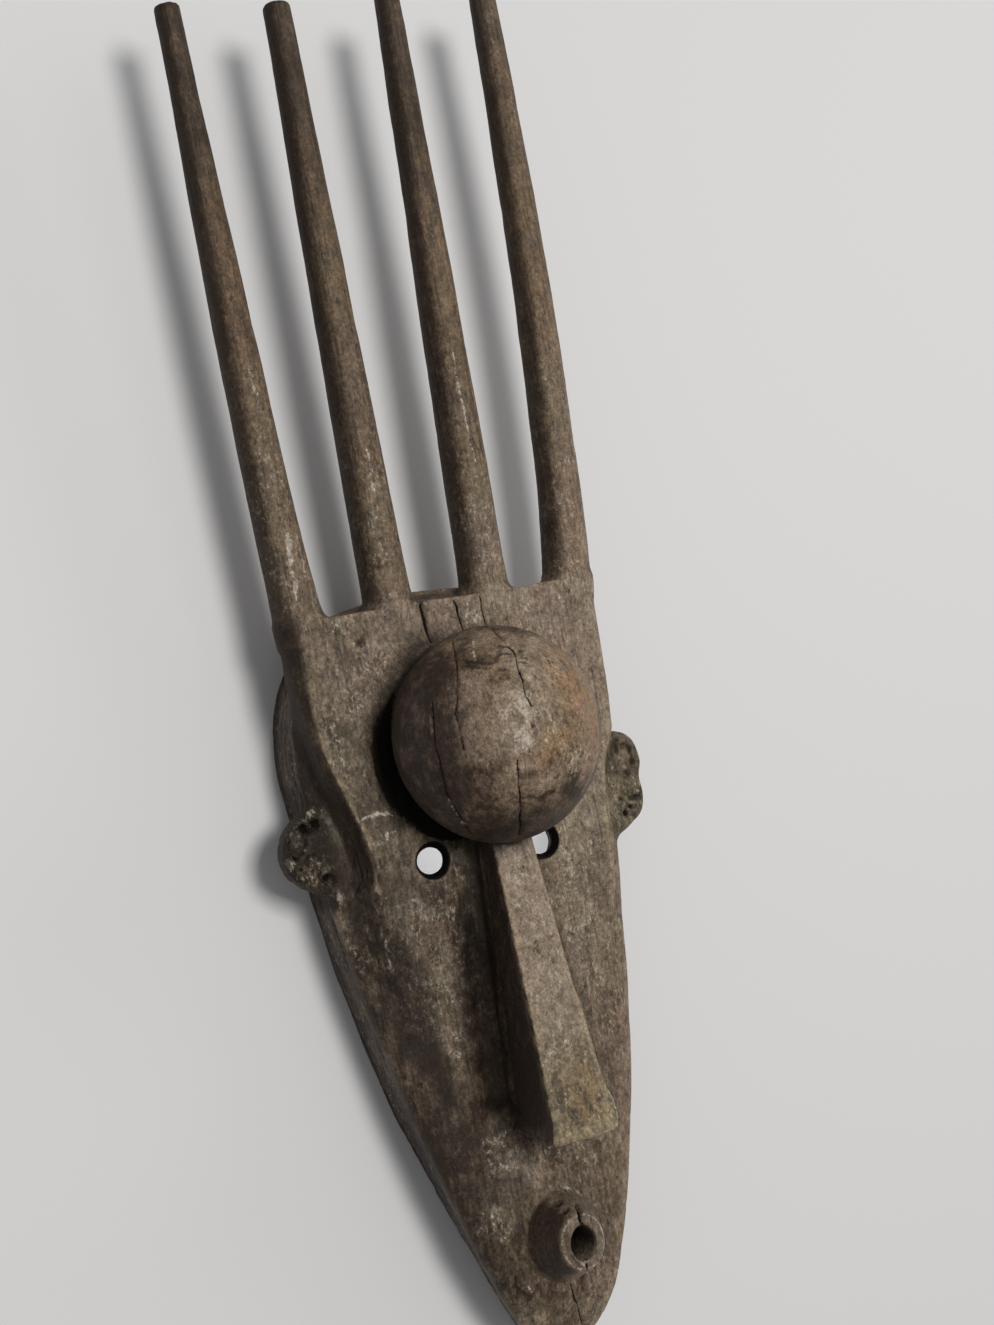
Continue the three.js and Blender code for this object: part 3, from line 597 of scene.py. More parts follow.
# Pale scratches and worn streaks, those down the horns' fronts partly a painted sheen: line, half-width and
# strength
PALE_LINES = (
    (((-71.1, 30.6, 2.1), (-69.4, 26.5, 3.5), (-65.9, 27.2, 3.5), (-63.2, 28.3, 3.5), (-59.8, 28.5, 3.5),
      (-56.1, 28.9, 3.5), (-53.2, 27.4, 3.5), (-50.5, 27.8, 3.5), (-47.8, 24.9, 3.5)), 1.2, 0.95),
    (((-71.6, 49.6, 3.5), (-68.6, 51.7, 3.5)), 1.4, 0.9),
    (((-75, 86.9, 3.5), (-72.1, 80.4, 3.5), (-71.3, 73.9, 3.5), (-73.1, 65.1, 3.5),
      (-72.5, 52.9, 3.5)), 2.0, 0.45),
    (((-55.5, 52.4, 3.5), (-55.9, 47.1, 3.5)), 0.8, 0.5),
    (((-73, 38, 3), (-70.7, 29.6, 2.6), (-68.5, 22.7, 2.6), (-66, 16.8, 3.5)), 1.5, 0.95),
    (((-86, 97, 3.3), (-83, 86, 3.3), (-80.8, 70, 3.3), (-78.4, 51, 3.3)), 0.9, 0.45),
    (((-64.1, 15, 3.5), (-60.2, 12.9, 3.5), (-56.2, 14.7, 3.5), (-53.2, 18.2, 3.5),
      (-48.7, 18.6, 3.5)), 1.5, 0.85),
    (((-35.9, -9.5, 2.9), (-30.6, -10.7, 2.9), (-28.1, -15.6, 2.5), (-30.9, -21.8, 2.1)), 0.9, 0.75),
    (((-36.2, -11.3, 2.8), (-36.1, -15.7, 2.5)), 0.7, 0.5),
    (((-57.6, 0.7, 3.3), (-59.7, -8.8, 3), (-61, -17.1, 2.5), (-54.1, -16.2, 2.5)), 0.9, 0.6),
    (((-40.9, 18.2, 3.5), (-48.8, 13.9, 3.5), (-47.7, 4.2, 3.4)), 0.8, 0.6),
    (((-63.1, -3.3, 2.2), (-62.9, -14.6, 2.5), (-61.6, -25.9, 1.9)), 0.8, 0.6),
    (((-76, 178, 4.6), (-76.7, 160.4, 4.2), (-77.5, 139.9, 3.7)), 2.2, 0.8),
    (((-25.1, 214, 5.7), (-26, 194.3, 5.4), (-25, 180, 5.2)), 1.5, 0.7),
    (((32.6, 255, 6.5), (32, 234.7, 6.3), (32.7, 208.2, 5.8), (33.4, 196.7, 5.7)), 1.1, 0.8),
    (((85, 250, 5.5), (84, 225, 5.5)), 2.4, 0.5),
    (((-79.5, 262, 5), (-78.5, 236, 5)), 2.0, 0.6),
    (((-42.4, 34, 56.4), (-37.6, 24, 53), (-30.6, 14.8, 48.2)), 1.0, 0.95),
    (((-11.6, 104.6, 55.6), (-16.8, 97.4, 64.4), (-19.8, 91.3, 69.4), (-20.9, 87.7, 72)), 0.8, 0.75),
    (((-42.6, 76, 58), (-44.6, 68, 59.5), (-45.9, 58, 59.7)), 0.8, 0.7),
    (((-30.2, 88, 64.9), (-34.5, 76, 69), (-37.4, 60, 71.2)), 0.7, 0.6),
    (((4.4, -176.9, 0), (7.9, -178.6, -0.1), (11.4, -181, -0.1), (15.5, -184.5, -0.2)), 1.2, 0.7),
    (((-16, -20, 26), (-17.8, -80, 37), (-17, -144, 47)), 0.9, 0.7),
    (((17.5, -96, 40), (20, -125, 44.5), (19.5, -143, 47), (8, -146, 48), (-12, -146, 48)), 1.1, 0.9),
    (((-7.3, -28.7, 28.7), (0.4, -29.6, 28.8)), 0.8, 0.6),
    (((-8.7, -75.4, 36.4), (0, -71.5, 35.7), (6, -68.3, 35.2)), 0.8, 0.7),
    (((-8.1, -84.4, 37.9), (-9.1, -98, 40.1), (-10.6, -109.4, 42)), 0.7, 0.4),
    (((-99.1, 24.6, -9.5), (-97, 30, -9.5), (-91, 35, -9.5)), 1.4, 0.5),
    (((-22.6, -219.8, -5.6), (-20.5, -225.5, -6.5)), 1.6, 0.6),
)
# Ragged pale patches: centre, radius and strength
PALE_PATCHES = (
    ((-10.4, 51.1, 85.9), 10.5, 0.86), ((-5.8, 70.1, 85.1), 10.0, 0.7), ((-15.9, 65.1, 83.9), 7.0, 0.6),
    ((-20.3, 53.2, 82.8), 7.0, 0.6), ((15, 121, 3.5), 7.0, 0.56), ((-73, 77, 3.5), 7.5, 0.58),
    ((-72, 66, 3.5), 6.0, 0.5), ((15, 117, 3.5), 8.0, 0.62), ((48.5, 109, 3.5), 9.0, 0.52),
    ((-102.8, 12, -11), 6.0, 0.84), ((-86.5, 36, -10.3), 5.0, 0.74), ((-93.8, 18.5, -9), 4.0, 0.66),
    ((-83.7, 5.5, -10.5), 3.5, 0.7), ((-79.5, -8.5, -10), 5.0, 0.74), ((-98, 28, -9.2), 5.0, 0.64),
    ((-2.2, -211.3, 20.8), 3.2, 0.74), ((-57, 16.5, 3.5), 9.0, 0.44), ((44, -12, 1.7), 9.0, 0.52),
    ((40, -52, 0), 8.0, 0.5),
)
# Bands of dirt and of painted shade in valleys and creases, and of pale specks: line, half-width and
# strength
DIRT_AND_SHADE_BANDS = (
    (((-76, 5.2, -9), (-72, -15.9, -8.3), (-61, -42.1, -2.6), (-56, -63.8, -3.2), (-54, -93.1, -3),
      (-46.4, -119.7, -1.8)), 16.0, 0.93),
    (((-12, -10, 1), (-15, -39.6, 0.1), (-18.6, -69.5, -0.1), (-21, -99.8, -0.1),
      (-19, -136, 0)), 17.0, 0.95),
    (((-63.9, -113.7, -32.4), (-60.1, -132, -27.9), (-54.8, -145.6, -32.5), (-50.1, -168.2, -28.3),
      (-40, -200, -26)), 9.0, 0.9),
    (((-83.4, 34, -9), (-83.1, 18, -9), (-80.6, 9.3, -9), (-78.7, 0.8, -9), (-76, -8, -9)), 9.0, 0.97),
)
DUST_BANDS = (
    (((-45, -20, 2), (-49.7, -62, -1.6), (-44.8, -78.5, -1.6), (-39.1, -95.7, -0.7)), 20.0, 0.9),
    (((-17.6, -158.1, -0.1), (-30.6, -146.5, -0.8)), 18.0, 0.9),
    (((-37.3, -176.8, -2.3), (-31.7, -193.5, -2)), 12.0, 0.8),
    (((40, 100, 3.5), (62, 60, 3.5), (55, 20, 3.5)), 24.0, 0.9),
    (((-75.5, 90, 3.5), (-73.2, 78.6, 3.5), (-71.2, 74.2, 3.5), (-72, 63.6, 3.5),
      (-70.5, 45, 3.5)), 8.0, 1.0),
    (((52, 22, 3.5), (44, -8, 1.7), (42, -30, 1.7), (48, -60, 0), (44, -88, -1)), 22.0, 1.0),
    (((15, 126, 3.5), (15.3, 112, 3.5)), 8.0, 1.0),
    (((48, 113, 3.5), (50, 102, 3.5)), 11.0, 1.0),
    (((-60, 104, 3.5), (-36, 110, 3.5)), 11.0, 1.0),
    (((-104.4, 17.1, -13.8), (-102.7, 10, -10.8), (-96, 5, -9.5), (-89, 0.5, -9.5)), 6.0, 1.0),
    (((-88.5, 36.5, -10.3), (-84, 34, -10)), 5.0, 1.0),
    (((-80, -7, -10), (-77, -14, -9)), 6.0, 1.0),
)
# Soft spots of one tone, with centre, radii and strength: pale ones on the ball, worn and partly a painted
# highlight, warm, dark and dusty ones on the ball, the warm middle of the nose's front, and painted shade in
# the pit at the nose's foot and in the crease at the left ear's root
BALL_PALE_AND_HIGHLIGHT = (((-7, 60, 86), (28, 32, 28), 0.54), ((14, 40, 82), (20, 18, 20), 0.4))
BALL_WARM = (((24, 78, 76), (24, 28, 24), 0.85), ((4, 46, 86), (30, 18, 18), 0.75))
BALL_DARK = (((-42, 82, 49), (17, 18, 22), 0.8), ((-36, 31, 63), (15, 17, 16), 0.7))
BALL_DUST = (((18, 38, 80), (20, 16, 20), 0.8),)
NOSE_WARM = (((6, -124, 45), (28, 40, 22), 0.5),)
SHADED_PIT_AND_CREASE = (((-18, -133, 4), (11, 12, 12), 1.0), ((-81, 18, -12), (7, 17, 9), 0.8))
# Soot and painted shade in the valley left of the nose, deepest in the pit at its foot
VALLEY_SOOT_AND_SHADE = ((-17, -30, 0.1), (-18.6, -69.5, -0.1), (-21, -99.8, -0.1), (-21, -130, 0))
PIT_SOOT_AND_SHADE = (((-22, -126, 0), (14, 19, 9), 0.64),)
# Directions from the ball's middle, scaled by its radii, in which it is warmest and in which it is painted
# lightest, a painted highlight
WARM_WAY = np.array([0.80, 0.20, 0.56])
PAINTED_HIGHLIGHT_WAY = np.array([0.15, 0.30, 0.93])


# A mark's line is cut into steps of this length and wanders this far, in mm
LINE_STEP = 1.5
LINE_WANDER = 0.55


def laid(line, field):
    """A line in short steps, wandering a little, each point moved onto the carved surface."""
    line = np.array(line, float)
    steps = [np.linspace(a, b, max(2, int(np.linalg.norm(b - a) / LINE_STEP)), endpoint=False)
             for a, b in zip(line[:-1], line[1:])]
    points = np.concatenate(steps + [line[-1:]])
    for axis in range(3):
        points[:, axis] += LINE_WANDER * noise(points, (5.0, 5.0, 5.0), 40 + axis)
    for _ in range(6):
        slope = np.stack([sampled(field, points + step, VOXEL) - sampled(field, points - step, VOXEL)
                          for step in np.eye(3) * VOXEL], 1)
        slope /= np.maximum(np.linalg.norm(slope, axis=1), 1e-6)[:, None]
        points = points - slope * np.clip(sampled(field, points, VOXEL), -4, 4)[:, None]
    return points


def near_line(points, line, width):
    """1 on the line, falling to 0 at the width; narrower towards the line's ends."""
    reach = float(np.max(width))
    box = ((points > line.min(0) - reach) & (points < line.max(0) + reach)).all(1)
    gap, place = line_distance(points[box], line)
    taper = 0.35 + 0.65 * smoothstep(np.minimum(place, 1 - place), 0, 0.25)
    result = np.zeros(len(points))
    result[box] = np.clip(1 - gap / ((width[box] if np.ndim(width) else width) * taper), 0, 1)
    return result


def snapped(points, normals, line, reach):
    """Moves the points beside a line onto it, along the surface, so that a crack has one clean bottom."""
    box = np.nonzero(((points > line.min(0) - reach) & (points < line.max(0) + reach)).all(1))[0]
    here, up = points[box], normals[box]
    best = np.full(len(here), reach)
    move = np.zeros_like(here)
    for a, b in zip(line[:-1], line[1:]):
        d = b - a
        t = np.clip((here - a) @ d / (d @ d), 0, 1)
        offset = a + t[:, None] * d - here
        offset -= (offset * up).sum(1)[:, None] * up
        gap = np.linalg.norm(offset, axis=1)
        nearer = gap < best
        best[nearer], move[nearer] = gap[nearer], offset[nearer]
    points = points.copy()
    points[box] += move
    return points


def vertex_normals(points, quads):
    a, b, c, d = (points[quads[:, i]] for i in range(4))
    faces = np.cross(c - a, d - b)
    total = np.zeros_like(points)
    for i in range(4):
        for axis in range(3):
            total[:, axis] += np.bincount(quads[:, i], faces[:, axis], len(points))
    return total / np.maximum(np.linalg.norm(total, axis=1), 1e-9)[:, None]


def blurred(field, width):
    """Three box blurs of an odd width along each axis."""
    half = width // 2
    for axis in range(3):
        for _ in range(3):
            pad = [(half + 1, half) if i == axis else (0, 0) for i in range(3)]
            sums = np.cumsum(np.pad(field, pad, mode="edge"), axis=axis, dtype=np.float64)
            ahead = np.take(sums, range(width, sums.shape[axis]), axis=axis)
            behind = np.take(sums, range(0, sums.shape[axis] - width), axis=axis)
            field = ((ahead - behind) / width).astype(np.float32)
    return field


def sampled(field, points, cell):
    """Values of a field at points, by trilinear weights."""
    p = (points - LOW) / cell
    base = np.clip(np.floor(p).astype(int), 0, np.array(field.shape) - 2)
    f = (p - base).astype(np.float32)
    total = np.zeros(len(p), np.float32)
    for corner in range(8):
        o = (corner & 1, corner >> 1 & 1, corner >> 2)
        weight = np.ones(len(p), np.float32)
        for axis in range(3):
            weight *= f[:, axis] if o[axis] else 1 - f[:, axis]
        total += weight * field[base[:, 0] + o[0], base[:, 1] + o[1], base[:, 2] + o[2]]
    return total


def spot(points, centre, radius):
    """1 at the centre, falling smoothly to 0 at the radius."""
    gap = np.linalg.norm((points - np.array(centre, float)) / (np.array(radius, float) * np.ones(3)), axis=1)
    return 1 - smoothstep(gap, 0.25, 1)


def spots(points, table):
    """The strongest of some soft spots, each given by its centre, radius and strength."""
    return strongest(*(strength * spot(points, centre, radius) for centre, radius, strength in table))


class Skin:
    """The carved surface: its points and normals, and which part of the mask each point lies on."""

    def __init__(self, points, normals, field):
        self.points, self.normals, self.field = points, normals, field
        x, y, z = self.x, self.y, self.z = points.T
        self.nx, self.ny, self.nz = normals.T
        nx, nz = self.nx, self.nz
        self.inside = ((nx * x + nz * (z + 30)) < -0.5) & (z < -11) & (y < 134)
        self.outside = ~self.inside
        self.on_horn = smoothstep(y, 128, 136)
        self.ball_way = (points - BALL_CENTRE) / BALL_RADII
        self.on_ball = np.abs(np.linalg.norm(self.ball_way, axis=1) - 1) < 0.03
        self.off_ball = 1 - self.on_ball
        self.on_nose = (z > 9) & (y < 12) & (y > -150) & (np.abs(x - 3) < 22)
        self.off_nose = 1 - self.on_nose
        self.in_ear = (np.abs(x) > 80) & (y < 50) & (y > -14) & (z < -7)
        self.face = smoothstep(nz, 0.35, 0.75) * self.outside * (y < 131)
        self.side_wall = smoothstep(np.abs(nx), 0.5, 0.8) * (z < -18) * (y < 134) * self.outside
        # The board's left side, above the cheek, which always lies in shade
        beside = smoothstep(-nx, 0.30, 0.65) * smoothstep(z, -20.5, -18.0) * (z < 6) * (x < -60)
        self.beside = beside * (1 - self.on_horn) * self.off_ball * smoothstep(y, -26, 6)
        self.low_left = smoothstep(-x, 10, 50) * (1 - smoothstep(y, 50, 90)) * self.face * self.off_ball
        self.eye_gap = np.min([np.hypot(x - ex, y - ey) for ex, ey in EYES], axis=0)
        self.find_mouth()
        self.find_ridge()

    def find_mouth(self):
        x, y, z = self.x, self.y, self.z
        self.bore_gap = np.hypot((x - MOUTH_X) / BORE_OVAL[0], (y - BORE_Y) / BORE_OVAL[1])
        self.in_bore = (1 - smoothstep(self.bore_gap, 7.6, 8.6)) * (self.bore_gap < 9)
        self.lit_wall = smoothstep(self.ny, -0.1, 0.5) * smoothstep(z, -16, 2)
        oval = np.hypot((x - MOUTH_X) / MOUTH_RIM[0], (y - MOUTH_Y) / MOUTH_RIM[1])
        self.on_mouth = (oval < 2.0) & (z > 0.5)
        self.on_ring = self.on_mouth & (z > 19.2) & (oval < 1.06)
        self.rim_line = (1 - smoothstep(np.abs(oval - 1.0), 0.015, 0.085)) * self.on_mouth * (z > 18)
        self.mouth_left = (MOUTH_X - x) / np.maximum(np.hypot(x - MOUTH_X, y - MOUTH_Y), 1)

    def find_ridge(self):
        """The bark-like ridge below the left eye, and the pitted fronts of the ears."""
        x, y, z = self.x, self.y, self.z
        near = 1 - smoothstep(np.abs(x - np.interp(y, *zip(*BARK_RIDGE))), 3, 10)
        near = near * smoothstep(y, -62, -45) * (1 - smoothstep(y, 8, 16))
        self.on_ridge = near * self.face * (x < 0)
        bark = smoothstep(np.abs(noise(self.points, (2.2, 9.0, 2.2), 12)), 0.05, 0.30)
        self.bark_cut = self.on_ridge * (1 - bark)
        pitted = (np.abs(x) > 84) * (y < 50) * (y > -14) * (z > -30) * smoothstep(self.nz, 0.55, 0.85)
        self.ear_pits = pitted * smoothstep(noise(self.points, (3.4, 3.8, 3.4), 9), 0.25, 0.6)

    def banded(self, bands):
        """The strongest of some ragged bands, each given by its line, half-width and strength."""
        ragged = 0.18 * noise(self.points, (5, 14, 5), 36)
        layers = []
        for line, width, strength in bands:
            close = near_line(self.points, np.array(line, float), width)
            layers.append(strength * smoothstep(close + ragged, 0.02, 0.62))
        return strongest(*layers)

    def texture(self):
        """Height of the grain, the wear and the tool marks, in mm."""
        points, outside, side_wall = self.points, self.outside, self.side_wall
        height = 0.42 * noise(points, (26, 50, 26), 1) + 0.26 * noise(points, (10, 26, 10), 2)
        height = height + outside * 0.14 * noise(points, (2.8, 34, 2.8), 3)
        height = height + outside * 0.10 * noise(points, (2.4, 5, 2.4), 4)
        strokes = np.abs(noise(points, (4.5, 30, 5.5), 5))
        height = height - side_wall * (0.9 * np.clip(1 - strokes * 2.2, 0, 1) ** 2 - 0.2)
        checks = np.abs(noise(points, (5.0, 60, 5.0), 6))
        height = height - self.off_ball * outside * 0.24 * np.clip(1 - checks * 5, 0, 1)
        wear_pits = noise(points, (2.2, 4.5, 2.2), 8)
        height = height - self.face * self.off_ball * 0.7 * smoothstep(wear_pits, 0.62, 0.9)
        height = height * np.where(self.on_nose, 0.35, 1.0)
        calm = np.minimum(smoothstep(self.eye_gap, 9, 17), smoothstep(self.bore_gap, 13, 19))
        height = height * np.where(self.inside, 1, 0.15 + 0.85 * calm)
        chosen = self.inside | (side_wall > 0.3)
        cups = np.zeros(len(points))
        cups[chosen] = scallops(points[chosen], (10, 26, 10), 20)
        height = height + self.inside * (1.5 * cups - 0.6) + side_wall * (0.6 * cups - 0.2)
        return height - 1.3 * self.bark_cut - 1.3 * self.ear_pits

    def cut_marks(self):
        """Draws points to the cracks; gives the height with all cuts, and how dark cracks and cuts are, with
        painted shade at the eye holes' rims.
        """
        height = self.texture()
        crack_and_shade = np.zeros(len(height))
        for line, width, depth, ink in CRACKS:
            line = laid(line, self.field)
            self.points = snapped(self.points, self.normals, line, 0.6 * VOXEL)
            close = near_line(self.points, line, 0.8 * width + VOXEL * 0.6)
            close = close * (0.82 + 0.25 * noise(self.points, (4.0, 4.0, 4.0), 44))
            height = height - depth * close
            crack_and_shade = np.maximum(crack_and_shade, close * ink)
        # Painted shade: the rims of the eye holes are painted black
        crack_and_shade = np.maximum(crack_and_shade, self.outside * (1 - smoothstep(self.eye_gap, 9.0, 10.2)) * (self.z > -14))
        gouge = np.zeros(len(height))
        ragged = 1.3 + 1.1 * noise(self.points, (1.7, 1.5, 1.7), 10)
        for line, width, depth in GOUGES:
            close = near_line(self.points, laid(line, self.field), width * ragged)
            height = height - 0.6 * depth * smoothstep(close, 0, 0.8)
            gouge = np.maximum(gouge, smoothstep(close, 0.10, 0.55))
        for centre, radius, depth in PITS:
            close = spot(self.points, centre, radius * 1.25) * self.outside
            height = height - depth * close
            gouge = np.maximum(gouge, close)
            crack_and_shade = np.maximum(crack_and_shade, 0.74 * close * (np.abs(self.x) > 80))
        return height, crack_and_shade, strongest(gouge, self.bark_cut, self.ear_pits * (self.z > -13))

    def pale_marks(self):
        """Scratches and flakes where the wood is kept fine, then the broader pale spots over them; the
        ball's pale spots and the horns' streaks are partly a painted highlight.
        """
        points = self.points
        tattered = 0.85 + 0.55 * noise(points, (1.8, 2.6, 1.8), 45)
        self.flaked = smoothstep(noise(points, (2.0, 8.0, 2.0), 46), 0.10, 0.55)
        fine = 0.74 * self.on_ridge * self.flaked * (1 - self.bark_cut)
        for line, width, strength in PALE_LINES:
            close = near_line(points, laid(line, self.field), width * 1.5) * tattered
            fine = np.maximum(fine, strength * smoothstep(close, 0, 0.8))
        return fine, strongest(fine, self.on_ball * spots(points, BALL_PALE_AND_HIGHLIGHT),
                               self.outside * spots(points, PALE_PATCHES),
                               (0.66 + 0.14 * (self.x > MOUTH_X)) * self.rim_line)

    def warmth(self):
        horn_warm = 0.20 + 0.16 * smoothstep(self.y, 190, 300)
        return strongest(self.on_ball * smoothstep(self.ball_way @ WARM_WAY, 0.55, 0.95),
                         self.on_ball * spots(self.points, BALL_WARM),
                         spots(self.points, NOSE_WARM),
                         0.25 * self.on_ball,
                         self.on_horn * horn_warm * (1 - 0.6 * smoothstep(self.y, 300, 400)))

    def horn_tan(self):
        """Lighter towards the foot of each horn, darkest at the tips of the left ones."""
        x, y = self.x, self.y
        tan = 0.30 - 0.02 * (np.abs(x) < 55) + 0.10 * (x > 60) + 0.18 * (1 - smoothstep(y, 140, 280))
        tan = tan + 0.10 * (x > 5) * (x < 58) * (1 - smoothstep(y, 150, 200))
        tan = tan + 0.09 * (x > 60) * (1 - smoothstep(y, 210, 290))
        tan = tan - np.where(x < 5, 0.36, np.where(x < 58, 0.24, 0.15)) * smoothstep(y, 275, 400)
        return tan + 0.12 * noise(self.points, (16, 60, 16), 35)

    def ball_tan_and_highlight(self):
        """Painted lightest at the top, where the light falls, in patches of two sizes."""
        patches = smoothstep(noise(self.points, (15, 18, 15), 31), -0.18, 0.22) - 0.5
        small_patches = smoothstep(noise(self.points, (6.5, 8, 6.5), 32), -0.15, 0.25) - 0.5
        top = smoothstep(self.ball_way @ PAINTED_HIGHLIGHT_WAY, 0.50, 0.97)
        return 0.30 + 0.58 * top + 0.36 * patches + 0.22 * small_patches

    def mouth_tan_light_and_shade(self):
        # Painted light on the tube's lower side, painted shade on its left
        side = 0.50 + 0.38 * smoothstep(MOUTH_Y - self.y, 2, 12)
        return np.where(self.on_ring, 0.66, lerp(side, 0.25, smoothstep(self.mouth_left, 0.1, 0.6)))

    def tan_with_painted_light(self, dust_band):
        """How much of the tan wood shows, most on the board, the nose's front and the ball's top, with
        painted light and painted shade laid over it.
        """
        x, y, nx, nz = self.x, self.y, self.nx, self.nz
        right_cheek = 0.06 * smoothstep(y, -150, -110) + 0.24 * smoothstep(y, -100, -10)
        cheeks = 0.31 + smoothstep(x, 22, 44) * right_cheek + 0.05 * smoothstep(x, 20, 50)
        tan = lerp(cheeks, 0.72 + 0.17 * smoothstep(x, -50, 50), smoothstep(y, -15, 35))
        tan = lerp(tan, 0.44, smoothstep(-y, 140, 165))
        # Painted shade: the nose's sides darker than its front
        nose_tan_and_shade = 0.10 + 0.90 * smoothstep(nz, 0.3, 0.8) - 0.66 * smoothstep(-y, 75, 125)
        tan = np.where(self.on_nose, nose_tan_and_shade, tan)
        tan = np.where(self.on_horn > 0.5, self.horn_tan(), tan)
        # Painted shade on the horns' left sides
        tan = tan - 0.25 * self.on_horn * smoothstep(-nx, 0.35, 0.9)
        tan = np.where(self.side_wall > 0.5, 0.34, tan)
        # Painted shade over the board's left side
        tan = lerp(tan, 0.04, self.beside)
        # Painted light on the horns' fronts
        tan = tan + 0.10 * self.on_horn * smoothstep(nz, 0.6, 0.95)
        tan = np.where(self.on_ball, self.ball_tan_and_highlight(), tan)
        tan = np.where(self.in_ear, np.where(x < 0, 0.02, 0.38), tan)
        tan = np.where(self.on_mouth, self.mouth_tan_light_and_shade(), tan)
        tan = np.where(self.inside, 0.30, tan)
        tan = tan + 0.22 * dust_band * self.face * (y < 20) * (1 - self.in_ear)
        # Painted shade on the surfaces below the eyes that turn to the left
        left_flank = smoothstep(-nx, 0.12, 0.5) * (y < -10) * (y > -170) * (x < -20)
        tan = tan - 0.14 * left_flank * self.outside * self.off_nose
        # Painted shade on the board's left beside the ball, as in the ball's soft shadow
        tan = tan - 0.24 * self.low_left * smoothstep(y, 0, 30)
        left_board = smoothstep(-x, 30, 60) * (y > 20) * (1 - self.on_horn) * self.off_ball
        tan = tan - 0.11 * left_board
        # The left of the face is darker low down and outside its ridge
        low_cheek = smoothstep(-y, 95, 140) * (1 - smoothstep(-y, 200, 240)) * smoothstep(-x, 8, 38)
        outer_cheek = smoothstep(-x, 60, 71) * smoothstep(-y, 28, 50) * (1 - smoothstep(-y, 80, 105))
        darker = 0.38 * low_cheek + 0.06 * outer_cheek
        tan = tan - darker * self.outside * self.off_nose * (1 - self.on_mouth)
        # Painted light on the bore's lit lower wall; the rest of the bore is painted darker
        return np.where(self.in_bore > 0, 0.45 + 0.65 * self.lit_wall, tan)

    def greenness(self):
        """Greenish film above 0, purple-black skin below it."""
        x, y, face = self.x, self.y, self.face
        hue = 0.5 * noise(self.points, (20, 32, 20), 33) - 0.2 * face * (y < 0)
        hue = hue + 0.3 * self.in_ear + 0.3 * self.low_left * (y > 0)
        hue = hue + 0.45 * smoothstep(x, 22, 44) * face * (y < 20) * smoothstep(y, -110, -50)
        hue = hue + 0.2 * face * (x < 0) * (y < -10)
        ball_hue = 0.5 * noise(self.points, (12, 16, 12), 34)
        # The ball's left, the nose's sides and the mouth's left, where shade is painted, are tinted purple
        # too
        hue = np.where(self.on_ball, ball_hue - 0.9 * smoothstep(-self.ball_way[:, 0], 0.35, 0.85), hue)
        hue = np.where(self.on_nose, np.where(self.nz < 0.6, -0.7, 1.0 * smoothstep(-y, 60, 130)), hue)
        hue = np.where(self.side_wall > 0.5, hue - 0.6, hue)
        return np.where(self.on_mouth & (self.z < 18.6), -0.9 * smoothstep(self.mouth_left, 0.0, 0.6), hue)

    def painted_shadow_and_soot(self):
        """A painted shadow, deep black, beside the ball; soot and painted shade in the valley and the pit
        left of the nose.
        """
        points, way = self.points, self.ball_way
        turn = np.arctan2(way[:, 1], way[:, 0]) + math.radians(159)
        gap = np.hypot(way[:, 0], way[:, 1]) - 0.275 * np.cos(turn)
        # Painted shadow: the ball's shadow on the board, black round its overhang, widest to the lower left
        painted_ball_shadow = (1 - smoothstep(gap, 0.78, 0.83)) * (self.z < 30) * self.off_ball * self.outside
        blotches = 1 + 0.11 * noise(points, (5.0, 9.0, 5.0), 47) + 0.11 * noise(points, (2.0, 5.0, 2.0), 48)
        blotched = self.off_nose * blotches
        valley = smoothstep(near_line(points, np.array(VALLEY_SOOT_AND_SHADE, float), 18.0), 0, 0.8)
        return strongest(0.64 * painted_ball_shadow, 0.52 * valley * blotched, spots(points, PIT_SOOT_AND_SHADE) * blotched)

